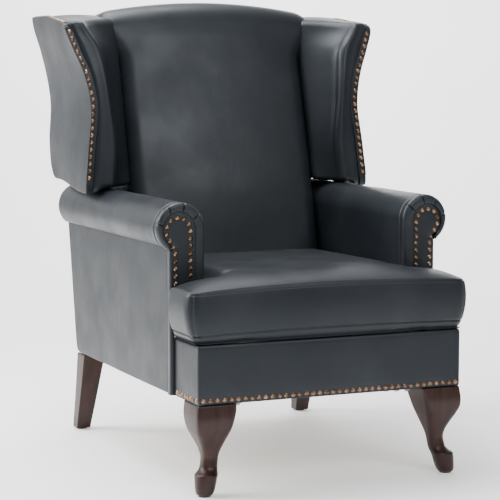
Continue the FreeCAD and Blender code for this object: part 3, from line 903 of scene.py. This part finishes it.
def wing_low(sides, a, b):
    """The wing's lower edge: its front corner comes down almost to the arm, and hangs outside it."""
    hang = 14 * MM * smoothstep(0.3, 0.85, a) * (1 - smoothstep(0.2, 0.8, b))
    return sides.low - 8 * MM * (1 - smoothstep(0.0, 0.7, b)) - hang


def wing_shell(sides, studs):
    """The outer side of the wing: a thin flat-fronted panel that carries the nails."""
    block_low, block_high = (-SHELL, 0, 0), (0, WING_DEPTH, WING_HEIGHT)
    points, faces = rounded_block(block_low, block_high, (3 * MM,) * 3, 6 * MM)
    round_corner(points, (1, 2), (TOP_CORNER, WING_HEIGHT - TOP_CORNER), (0.0, WING_HEIGHT))
    round_corner(points, (1, 2), (WING_DEPTH - 0.045, 0.05), (WING_DEPTH, 0.0))
    round_corner(points, (1, 2), (0.012, 0.012), (0.0, 0.0))
    _, b, c = shares(points, block_low, block_high)
    low = wing_low(sides, 1.0, b)
    z = low + c * (sides.top(b) - low)
    belly = 4 * MM * crown(b, 0, 1, 2.4) * crown(c, 0, 1, 2.4)
    belly = belly + ripple(np.column_stack([b * 0.4, c * 0.4, b * 0]), 0.7 * MM, 0.22, 21) * crown(b, 0, 1)
    y = sides.front_y(z) + b * (sides.rear_y(z) - sides.front_y(z))
    outer = points[:, 0] > -SHELL / 2
    shaped = np.column_stack([sides.outer_x(z, b) + points[:, 0] + np.where(outer, belly, 0), y, z])
    return dimples(shaped, (0, -1, 0), studs, 0.9 * MM), faces


def wing_roll(sides):
    """The padded side of the wing: a roll behind the nails, then a broad swell down to the back."""
    block_low, block_high = (0, 0, 0), (62 * MM, WING_DEPTH, WING_HEIGHT)
    points, faces = rounded_block(block_low, block_high, (12 * MM,) * 3, 7 * MM)
    a, b, c = shares(points, block_low, block_high)
    top = sides.top(b) + 5 * MM * crown(a, 0, 1, 2.0)
    low = wing_low(sides, a, b)
    z = low + c * (top - low)
    front_y = sides.front_y(z)
    y = front_y + b * (sides.rear_y(z) - 14 * MM - front_y)
    x_outer = sides.outer_x(z, b) - 4 * MM
    tuck_x, tuck_y = 0.258, back_face_y(z) + 12 * MM
    reach = np.clip((y - front_y) / (tuck_y - front_y), 0, 1)
    x_inner = sides.inner_front(z) + (tuck_x - sides.inner_front(z)) * reach ** 1.7
    swell = 7 * MM * np.sin(math.pi * np.clip(reach * 1.25 - 0.25, 0, 1)) * crown(c, -0.05, 1.05, 3.0)
    valley = 2.0 * MM * np.exp(-((reach - 0.24) / 0.12) ** 2) * crown(c, 0.0, 1.0, 4.0)
    inner_share = 1 - smoothstep(0.0, 0.6, a)
    x = x_inner + a * (x_outer - x_inner) - inner_share * (swell - valley)
    across = np.clip((x - x_inner) / (x_outer - x_inner), 0, 1)
    ridge = 3.5 * MM * np.exp(-((across - 0.60) / 0.13) ** 2)
    rim = 6 * MM * np.exp(-((across - 0.22) / 0.22) ** 2)
    groove = 5 * MM * smoothstep(0.70, 0.84, across)
    bulge = (ridge + rim - groove) * np.exp(-(b * WING_DEPTH / (24 * MM)) ** 2)
    y = y - bulge + ripple(np.column_stack([x, y, z]), 0.25 * MM, 0.25, 31)
    return np.column_stack([x, y, z]), faces


def wing_edge_path(sides, inset, lift=0.0):
    """The wing's outer edge: up the front, round the top corner and back along the top."""
    path = []
    heights = np.linspace(sides.low + 6 * MM, sides.top_front - TOP_CORNER, 60)
    for z in heights:
        path.append((sides.outer_x(z, 0) - inset, sides.front_y(z) - lift, z))
    for t in np.linspace(0.12, 1, 9):
        turn = t * math.pi / 2
        z = sides.top_front - TOP_CORNER * (1 - math.sin(turn))
        y = sides.front_y(z) - lift + TOP_CORNER * (1 - math.cos(turn))
        path.append((sides.outer_x(z, 0) - inset, y, z + lift * math.sin(turn)))
    front, rear = sides.front_y(sides.top_front), sides.rear_y(sides.top_rear)
    for y in np.linspace(path[-1][1] + 6 * MM, rear - 10 * MM, 40):
        b = (y - front) / (rear - front)
        z = sides.top(b)
        path.append((sides.outer_x(z, b) - inset, y, z + lift))
    return np.array(path)


def make_wings():
    sides = WingSides()
    centres = left_centres("wing_nails")
    shell = wing_shell(sides, centres)
    roll = wing_roll(sides)
    welt = tube(wing_edge_path(sides, 0.6 * MM, -0.2 * MM), 1.6 * MM)
    top_start_y = 0.165

    def toward(centre):
        return (0, -1, 0.16) if centre[1] < top_start_y else (0, -0.12, 1)

    studs = nails(centres, shell, toward, 5)
    pair("wing_shell", shell, "back", stands_for=["wing_outer_panel"])
    pair("wing_roll", roll, "back", stands_for=["wing_inner_pad", "wing_frame"], fill=0.65)
    pair("wing_welt", welt, "back", rubbed=np.full(len(welt[0]), 0.9))
    nail_piece("wing_nail_heads", both_sides(studs), "back", "wing_nails")


# ---- arms ----
FRONT_Y = FACING[0].y
UNDER_ROLL = 0.5665                # height of the leather's turn under the roll
HEAD_X, HEAD_Z = 0.3225, 0.5975    # the round head of the arm front's keyhole
HEAD_R = 40.5 * MM
NECK_Z, NECK_TOP = 0.5485, 0.562   # where the keyhole narrows below its head
STEM_STEPS = 48                    # points up the stem of the keyhole's outline


def arm_section(foot_z, roll_scale):
    """One cross-section of the arm's cover, from the inner foot up and over the roll: x and z."""
    start, end = math.pi, math.radians(-47)
    radius = ROLL_R * roll_scale
    ring = []
    inner = ROLL_X - radius
    foot_x = INNER_PAD[0].x if foot_z < 0.5 else inner + 0.01
    for t in np.linspace(0, 1, 16):
        z = foot_z + (ROLL_Z - foot_z) * t
        ring.append((foot_x + (inner - foot_x) * smoothstep(0.4, 1.0, t), z))
    for angle in np.linspace(start, end, 40)[1:]:
        ring.append((ROLL_X + radius * math.cos(angle), ROLL_Z + radius * math.sin(angle)))
    tuck = ROLL_Z + radius * math.sin(end) + 2 * MM
    outer_x, middle_x, inner_x = 0.350, 0.340, 0.312
    ring.append((min(ring[-1][0] - 5 * MM, outer_x), tuck + 0.5 * MM))
    ring.append((middle_x, max(tuck + 5 * MM, UNDER_ROLL - 0.5 * MM)))
    ring.append((inner_x, max(tuck + 6 * MM, UNDER_ROLL)))
    ring.append((INNER_PAD[1].x + 4 * MM, UNDER_ROLL))
    for t in np.linspace(0, 1, 8)[1:]:
        ring.append((INNER_PAD[1].x, UNDER_ROLL + (foot_z - UNDER_ROLL) * t))
    return np.array(ring)


def arm_cover():
    """The roll and the arm's inner side in one sheet of leather."""
    front = FACING[1].y - 2 * MM
    rear = ROLL[1].y
    ys = [front + s * MM for s in (0, 0.8, 2.5, 5, 9, 14, 22)]
    ys += list(np.linspace(front + 0.034, 0.270, 34))
    ys += [0.280, 0.288, 0.296, 0.306]
    ys += list(np.linspace(0.318, rear - 0.026, 7))
    rounding = 24 * MM
    ys += [rear - rounding * (1 - math.sin(a)) for a in np.radians((15, 30, 45, 58, 70, 80, 88))]
    rings = []
    for y in ys:
        from_rear = max(0.0, y - (rear - rounding)) / rounding
        scale = 1 - 0.36 * (1 - math.sqrt(max(0.0, 1 - from_rear ** 2)))
        from_front = max(0.0, 1 - (y - front) / (6 * MM))
        scale *= 1 - 0.07 * from_front ** 2
        scale -= 0.012 * math.exp(-((y - front - 0.020) / 0.006) ** 2)
        foot = INNER_PAD[0].z + (0.552 - INNER_PAD[0].z) * float(smoothstep(0.276, 0.300, y))
        flat = arm_section(foot, scale)
        level = np.full(len(flat), y)
        sag = ripple(np.column_stack([flat[:, 0], level, flat[:, 1]]), 0.5 * MM, 0.2, 41)
        outward = flat - np.array([ROLL_X, ROLL_Z])
        outward /= np.linalg.norm(outward, axis=1, keepdims=True)
        upper = (flat[:, 1] > 0.57)[:, None]
        flat = flat + np.where(upper, outward * sag[:, None], 0)
        rings.append(np.column_stack([flat[:, 0], level, flat[:, 1]]))
    return loft([r[::-1] for r in rings])


def keyhole():
    """Matching points on the outer and inner lines of the arm front's border: x and z."""
    outer, inner = [], []
    inner_x = ROLL_X - ROLL_R
    for z in np.linspace(FACING[0].z, HEAD_Z - 0.004, STEM_STEPS):
        outer.append((inner_x + 1.0 * MM * smoothstep(0.55, 0.40, z), z))
        inner.append((HEAD_X - HEAD_R, z))
    for angle in np.radians(np.linspace(180, -62, 220)):
        outer.append((ROLL_X + ROLL_R * math.cos(angle), ROLL_Z + ROLL_R * math.sin(angle)))
        inner.append((HEAD_X + HEAD_R * math.cos(angle), HEAD_Z + HEAD_R * math.sin(angle)))
    return np.array(outer), np.array(inner)


PLEATS = (195, 145, 100, 60, 12)  # degrees round the roll


def arm_border():
    """The strip round the arm's front: it curls over the roll's edge and is pleated round the head."""
    outer, inner = keyhole()
    count = len(outer)
    width = np.linalg.norm(inner - outer, axis=1)
    into = (inner - outer) / width[:, None]
    angle = np.degrees(np.arctan2(outer[:, 1] - ROLL_Z, outer[:, 0] - ROLL_X)) % 360
    straight = (outer[:, 1] < ROLL_Z) & (outer[:, 0] < ROLL_X)
    pleat = np.zeros(count)
    for centre in PLEATS:
        gap = (angle - centre + 180) % 360 - 180
        pleat += np.exp(-(gap / 1.7) ** 2) * np.where(straight, 0.0, 1.0)
    swell = np.where(straight, 0.3, 1.0 - np.clip(pleat, 0, 1))
    taper = np.clip((np.arange(count)[::-1]) / 10.0, 0.25, 1.0)
    rear_y, front_y = FACING[1].y - 3.0 * MM, FRONT_Y - 2.5 * MM
    corner = 9 * MM
    rings = []
    for i in range(count):
        w = width[i] * taper[i] + 1.0 * MM
        section = [(2.0 * MM, rear_y), (0.0, rear_y - 1 * MM), (0.0, front_y + corner)]
        for turn in np.radians((15, 30, 45, 60, 75, 90)):
            section.append((corner * (1 - math.cos(turn)), front_y + corner * (1 - math.sin(turn))))
        for t in (0.25, 0.5, 0.75):
            section.append((corner + (w - corner - 3 * MM) * t, front_y))
        for turn in np.radians((0, 30, 60, 88)):
            section.append((w - 3 * MM + 3 * MM * math.sin(turn), front_y + 5 * MM * (1 - math.cos(turn))))
        section += [(w, rear_y - 4 * MM), (w, rear_y)]
        ring = []
        for p, y in section:
            share = math.sin(math.pi * min(max(p / w, 0), 1)) if y < rear_y - 3 * MM else 0
            push = (1.8 * MM * swell[i] - 4.6 * MM * pleat[i]) * share
            edge = 2.0 * MM * pleat[i] * (1 if p < corner and y < rear_y - 3 * MM else 0)
            x, z = outer[i] + into[i] * (p + edge)
            ring.append((x, y - push, z))
        rings.append(ring)
    return loft(rings)


def arm_facing(studs):
    """The keyhole panel inside the border, pressed in round its nails."""
    top = keyhole()[1][STEM_STEPS:, 1].max()
    outer_x = OUTER_PANEL[1].x
    cap = 12 * MM
    rows = np.concatenate([np.linspace(FACING[0].z, NECK_Z - 0.5 * MM, 120),
                           np.linspace(NECK_Z + 1.5 * MM, top - cap, 34),
                           top - cap * (1 - np.sin(np.linspace(0.1, 1.5, 10)))])
    radius = HEAD_R + 1.5 * MM
    edge_r = 6.5 * MM
    front, back = [], []
    across = np.concatenate([np.linspace(0, 0.9, 22), 0.9 + 0.1 * np.sin(np.linspace(0.2, math.pi / 2, 7))])
    for z in rows:
        rise = min(max(z - HEAD_Z, -radius * 0.999), radius * 0.9995)
        reach = math.sqrt(radius ** 2 - rise ** 2)
        left = HEAD_X - (reach if z > HEAD_Z else radius)
        right = outer_x + (HEAD_X + reach - outer_x) * smoothstep(NECK_Z, NECK_TOP, z)
        x = left + (right - left) * across
        gap = np.maximum(edge_r - (right - x), 0) / edge_r
        fall = edge_r * (1 - np.sqrt(np.maximum(0, 1 - gap ** 2)))
        lift = 1.6 * MM * crown(x, left, right, 2.0)
        front.append(np.column_stack([x, FRONT_Y - lift + fall, np.full(len(x), z)]))
        back.append(np.column_stack([x, np.full(len(x), FACING[1].y - 1.5 * MM), np.full(len(x), z)]))
    front, back = np.array(front), np.array(back)
    shape = front.shape
    pressed = dimples(front.reshape(-1, 3).copy(), (0, -1, 0), studs)
    return slab(pressed.reshape(shape), back)


def side_panel():
    """The arm's outer side: one broad sheet from the base to the roll."""
    low = np.array([OUTER_PANEL[0].x, OUTER_PANEL[0].y - 0.3 * MM, OUTER_PANEL[0].z])
    high = np.array([OUTER_PANEL[1].x, REAR_FOOT_Y, OUTER_PANEL[1].z + 1 * MM])
    points, faces = rounded_block(low, high, (7 * MM, 6 * MM, 5 * MM), 12 * MM)
    round_corner(points, (1, 2), (high[1] - 0.022, low[2] + 0.022), (high[1], low[2]))
    a, b, c = shares(points, low, high)
    outer = a > 0.5
    belly = 3.5 * MM * crown(b, 0, 1, 3.0) * crown(c, -0.1, 1.1, 3.0)
    belly += ripple(np.column_stack([b * 0, b * 0.7, c * 0.12]), 0.9 * MM, 0.18, 51) * crown(b, 0, 1, 6.0)
    points[:, 0] += np.where(outer, belly - 2.0 * MM, 0)
    points[:, 1] += REAR_SLOPE * (points[:, 2] - low[2]) * smoothstep(0.0, 1.0, b)
    return points, faces


def rear_cover():
    """The arm's rear side, on the chair's rear plane."""
    low = np.array([INNER_PAD[0].x, REAR_FOOT_Y - 11 * MM, OUTER_PANEL[0].z])
    high = np.array([OUTER_PANEL[0].x - 0.5 * MM, REAR_FOOT_Y, OUTER_PANEL[1].z])
    points, faces = rounded_block(low, high, (4 * MM, 4 * MM, 4 * MM), 14 * MM)
    points[:, 1] += REAR_SLOPE * (points[:, 2] - low[2])
    across = crown(points[:, 0], low[0], high[0])
    points[:, 1] += 1.5 * MM * across * crown(points[:, 2], low[2], high[2], 4.0)
    return points, faces


def make_arms():
    centres = left_centres("arm_nails")
    border = arm_border()
    facing = arm_facing(centres)
    studs = nails(centres, facing, lambda c: (0, -1, 0), 7)
    pair("arm_cover", arm_cover(), "base", stands_for=["arm_roll", "arm_inner_pad"], fill=0.6)
    wear = np.exp(-((border[0][:, 1] - FRONT_Y) / 0.006) ** 2) * 0.35
    pair("arm_front_border", border, "base", rubbed=wear, fill=0.5)
    pair("arm_front_panel", facing, "base", stands_for=["arm_front_facing"])
    pair("arm_side_panel", side_panel(), "base", stands_for=["arm_outer_panel"])
    piece("arm_rear_panels", both_sides(rear_cover()), "base", stands_for=["arm_rear_covers"])
    nail_piece("arm_nail_heads", both_sides(studs), "base", "arm_nails")


# ---- the box under the seat ----
COVER_RISE = 3.5 * MM    # the stuffed covers stand this far above the box, close under the cushion


def box_corners(box):
    """The corners of one side of the box, with the cover's stuffing on top."""
    return np.array(box[0]), np.array(box[1]) + np.array([0, 0, COVER_RISE])


def box_side():
    low, high = box_corners(RETURN)
    centres = left_centres("side_return_nails")
    points, faces = rounded_block(low, high, (5 * MM, 5 * MM, 9 * MM), 4.5 * MM)
    outer = points[:, 0] > (low[0] + high[0]) / 2
    b = crown(points[:, 1], low[1], high[1], 2.0)
    c = crown(points[:, 2], low[2], high[2], 2.6)
    points[:, 0] += np.where(outer, 3.0 * MM * b * c - 0.6 * MM, 0)
    mitre = smoothstep(high[0] - 14 * MM, low[0], points[:, 0]) * 15 * MM
    points[:, 1] += np.where(points[:, 1] < low[1] + 10 * MM, mitre, 0)
    points = dimples(points, (1, 0, 0), centres, 1.0 * MM)
    return (points, faces), centres


def box_front():
    low, high = box_corners(FOOTREST)
    centres = island_centres("footrest_nails")
    points, faces = rounded_block(low, high, (5 * MM, 5.5 * MM, 10 * MM), 5 * MM)
    outer = points[:, 1] < (low[1] + high[1]) / 2
    b = crown(points[:, 0], low[0], high[0], 6.0)
    c = crown(points[:, 2], low[2], high[2], 2.6)
    belly = 2.6 * MM * b * c + ripple(points, 0.5 * MM, 0.25, 61) * b * c
    points[:, 1] -= np.where(outer, belly, 0)
    points = dimples(points, (0, -1, 0), centres, 1.0 * MM)
    return (points, faces), centres


def rear_apron():
    """Leather over the rear rail, between the rear legs."""
    half, low_z, height = INNER_PAD[0].x - 2 * MM, OUTER_PANEL[0].z, 28 * MM
    inner_y, outer_y = 0.320, REAR_FOOT_Y - 3 * MM
    low, high = (-half, inner_y, low_z), (half, outer_y, low_z + height)
    points, faces = rounded_block(low, high, (4 * MM,) * 3, 12 * MM)
    outer = points[:, 1] > (inner_y + outer_y) / 2
    points[:, 1] += 1.5 * MM * crown(points[:, 0], -half, half) * outer
    return points, faces


def make_box():
    piece("rear_apron", rear_apron(), "base")
    side, side_centres = box_side()
    pair("box_side_cover", side, "base", stands_for=["side_return"])
    studs = nails(side_centres, side, lambda c: (1, 0, 0), 9)
    nail_piece("box_side_nail_heads", both_sides(studs), "base", "side_return_nails")
    front, front_centres = box_front()
    piece("footrest_cover", front, "footrest", stands_for=["footrest_pad"], fill=0.5)
    studs = nails(front_centres, front, lambda c: (0, -1, 0), 10)
    nail_piece("footrest_nail_heads", studs, "footrest", "footrest_nails")


# ---- the outside back ----
def outside_back():
    """A T-shaped panel down the chair's back: wide behind the wings, narrow between the arms."""
    low_z, upper_z, high_z = OUTSIDE_BACK[0].z, 0.676, OUTSIDE_BACK[1].z
    wide, narrow = OUTSIDE_BACK[1].x, INNER_PAD[0].x - 3.5 * MM
    xs = np.concatenate([np.linspace(-wide, -narrow, 9), np.linspace(-narrow, narrow, 36)[1:-1],
                         np.linspace(narrow, wide, 9)])
    zs = np.concatenate([np.linspace(low_z, upper_z, 32), np.linspace(upper_z, high_z, 32)[1:]])
    plan, cells, loop = masked_sheet(xs, zs, lambda x, z: abs(x) < narrow or z > upper_z)
    reach = 40 * MM
    half = np.where(plan[:, 1] > upper_z + 1e-6, wide, narrow)
    side = 1 - np.exp(-np.maximum(half - np.abs(plan[:, 0]), 0) / reach)
    low = 1 - np.exp(-(plan[:, 1] - zs[0]) / reach)
    high = 1 - np.exp(-(zs[-1] - plan[:, 1]) / reach)
    puff = 7 * MM * side * low * high
    rear = REAR_FOOT_Y + REAR_SLOPE * (plan[:, 1] - OUTER_PANEL[0].z)
    rear += ripple(np.column_stack([plan, plan[:, 0] * 0]), 0.6 * MM, 0.3, 71)
    skin = 12 * MM
    outer = np.column_stack([plan[:, 0], rear + puff, plan[:, 1]])
    inner = np.column_stack([plan[:, 0], rear - skin, plan[:, 1]])
    out = loop_normals(plan[loop])
    middle = outer[loop] * 0.5 + inner[loop] * 0.5
    lip = outer[loop] * 0.85 + inner[loop] * 0.15
    outer[loop, 0] -= out[:, 0] * 2.5 * MM
    outer[loop, 2] -= out[:, 1] * 2.5 * MM
    count, size = len(outer), len(loop)
    points = np.vstack([outer, inner, lip, middle])
    faces = flipped(cells) + [tuple(count + i for i in c) for c in cells]
    chain = [list(loop), [2 * count + i for i in range(size)],
             [2 * count + size + i for i in range(size)], [count + i for i in loop]]
    for upper, lower in zip(chain, chain[1:]):
        faces += flipped(band(upper, lower))
    cord = outer[loop] + np.column_stack([out[:, 0], np.zeros(size), out[:, 1]]) * 1.5 * MM
    return (points, faces), cord


def make_outside_back():
    panel, cord = outside_back()
    piece("outside_back_cover", panel, "back", stands_for=["outside_back_panel"])
    welt = tube(np.vstack([cord, cord[:1]]), 2.6 * MM)
    piece("outside_back_welt", welt, "back", rubbed=np.full(len(welt[0]), 0.6))


# ---- legs ----
def rounded_square_ring(centre, half, corner, z, ridge=0.0):
    """A square with rounded corners, drawn round a point, optionally with a bead on its outer corner."""
    ring = []
    for k in range(4):
        base = math.pi / 2 * k
        for a in np.linspace(0, math.pi / 2, 8):
            cx = (half - corner) * (1 if k in (0, 3) else -1)
            cy = (half - corner) * (1 if k in (0, 1) else -1)
            extra = ridge if k == 3 and abs(a - math.pi / 4) < 0.25 else 0.0
            ring.append((centre[0] + cx + (corner + extra) * math.cos(base + a),
                         centre[1] + cy + (corner + extra) * math.sin(base + a), z))
    return ring


def front_leg():
    """A cabriole leg.  Stations give height, shift along the outward diagonal, size across, roundness."""
    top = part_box("front_leg_left")[1].z
    glide = [c for c in left_centres("leg_glides") if c[1] < 0][0]
    foot_step = 35 * MM * math.sqrt(0.5)
    centre = (glide[0] - foot_step, glide[1] + foot_step)
    table = np.array([
        (0.003, 35, 32, 0.44), (0.006, 35, 37, 0.44), (0.014, 33, 43, 0.44), (0.030, 30, 48, 0.44),
        (0.044, 27, 51, 0.44), (0.047, 26, 52, 0.44), (0.050, 24, 51, 0.44), (0.054, 19, 46, 0.44),
        (0.060, 14, 41, 0.42), (0.072, 10, 38, 0.38), (0.088, 7, 38, 0.34), (0.104, 6, 46, 0.30),
        (0.125, 7, 63, 0.24), (0.150, 9, 84, 0.18), (0.176, 7, 95, 0.13), (0.199, 2, 97, 0.10),
        (top, 0, 96, 0.10),
    ])
    heights = np.unique(np.concatenate([np.linspace(0.003, top, 70), table[:, 0]]))
    shifts, sizes, shares = [smooth_curve(heights, table[:, 0], table[:, a]) for a in (1, 2, 3)]
    rings = []
    for z, shift, size, share in zip(heights, shifts * MM, sizes * MM, shares):
        step = shift * math.sqrt(0.5)
        bead = 2.4 * MM * float(smoothstep(0.145, 0.165, z))
        place = (centre[0] + step, centre[1] - step)
        rings.append(rounded_square_ring(place, size / 2, size * share, z, bead))
    return loft(rings)


def rear_leg():
    """A tapering leg that sweeps to the rear."""
    foot_x, foot_y, top_half = 19 * MM, 17 * MM, 29 * MM
    low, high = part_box("rear_leg_left")
    points, faces = rounded_block((-1, -1, low.z), (1, 1, high.z), (0.08, 0.08, 5 * MM), 0.05)
    t = (points[:, 2] - low.z) / (high.z - low.z)
    half_x = foot_x + (top_half - foot_x) * t
    half_y = foot_y + (top_half - foot_y) * t
    middle_y = (high.y - foot_y) * (1 - t) + (low.y + top_half) * t
    curve = 1.8 * MM * np.sin(math.pi * t)
    points[:, 0] = high.x - half_x + points[:, 0] * half_x
    points[:, 1] = middle_y + points[:, 1] * half_y - curve
    return points, faces


def make_legs():
    pair("front_leg_turned", front_leg(), "base", stands_for=["front_leg"], slot="stained_wood")
    pair("rear_leg_shaped", rear_leg(), "base", stands_for=["rear_leg"], slot="stained_wood")


# ---- studio ----
def area_light(name, place, target, size, power):
    data = bpy.data.lights.new(name, "AREA")
    data.shape = "RECTANGLE"
    data.size, data.size_y = size
    data.energy = power
    lamp = add_object(name, data)
    lamp.location = place
    lamp.rotation_euler = (Vector(target) - Vector(place)).to_track_quat("-Z", "Y").to_euler()


def floor_material():
    """Pale, and lit a little from within."""
    material, tree, shader, place = new_material("pale_floor")
    shades = [(0.3, (0.93, 0.93, 0.93)), (0.7, (0.96, 0.96, 0.96))]
    fill(tree, shader, {
        "Base Color": ramp(tree, noise(tree, place, 1.2), shades),
        "Roughness": 0.7,
        "Emission Color": (1, 1, 1, 1),
        "Emission Strength": 0.34,
    })
    return material


def studio_floor():
    """A floor that curves up into a backdrop, square to the camera."""
    rear_y, bend = 3, 2.5
    profile = [(-9, 0), (-3, 0), (rear_y, 0)]
    for a in np.radians((15, 30, 45, 60, 75, 90)):
        profile.append((rear_y + bend * math.sin(a), bend * (1 - math.cos(a))))
    profile.append((rear_y + bend, 9))
    rows = np.array([[(x, y, z) for x in np.linspace(-12, 12, 9)] for y, z in profile])
    turn = math.radians(-23.4)
    spun = rows.copy()
    spun[..., 0] = rows[..., 0] * math.cos(turn) - rows[..., 1] * math.sin(turn)
    spun[..., 1] = rows[..., 0] * math.sin(turn) + rows[..., 1] * math.cos(turn)
    faces = quad_grid(rows.shape[0], rows.shape[1])
    mesh = smooth_mesh("studio_floor", spun.reshape(-1, 3), faces, floor_material())
    floor = add_object("studio_floor", mesh)


def studio():
    studio_floor()
    world = bpy.data.worlds.new("studio_sky")
    bpy.context.scene.world = world
    world.use_nodes = True
    world.node_tree.nodes["Background"].inputs["Color"].default_value = (1, 1, 1, 1)
    world.node_tree.nodes["Background"].inputs["Strength"].default_value = 0.27
    area_light("key_light", (-2.3, 0.95, 1.85), (0, 0.1, 0.6), (1.6, 2.0), 128)
    area_light("front_light", (0.5, -3.7, 2.9), (0, 0, 0.6), (2.4, 1.6), 90)
    area_light("top_light", (-0.5, 0.5, 3.4), (0, 0, 0.4), (2.6, 1.8), 190)
    area_light("background_light", (1.4, 3.3, 3.6), (2.4, 5.6, 0.9), (4.0, 1.5), 260)


def camera():
    azimuth, pitch = math.radians(23.43), math.radians(5.96)
    data = bpy.data.cameras.new("photo_camera")
    data.lens = 132.4
    data.sensor_width = 36.0
    view = add_object("photo_camera", data)
    view.location = (-1.8446, -4.2805, 0.9894)
    view.rotation_euler = (math.pi / 2 - pitch, 0, -azimuth)
    bpy.context.scene.camera = view


finish_cad_nodes()
make_cushion()
make_inside_back()
make_wings()
make_arms()
make_box()
make_outside_back()
make_legs()
studio()
camera()
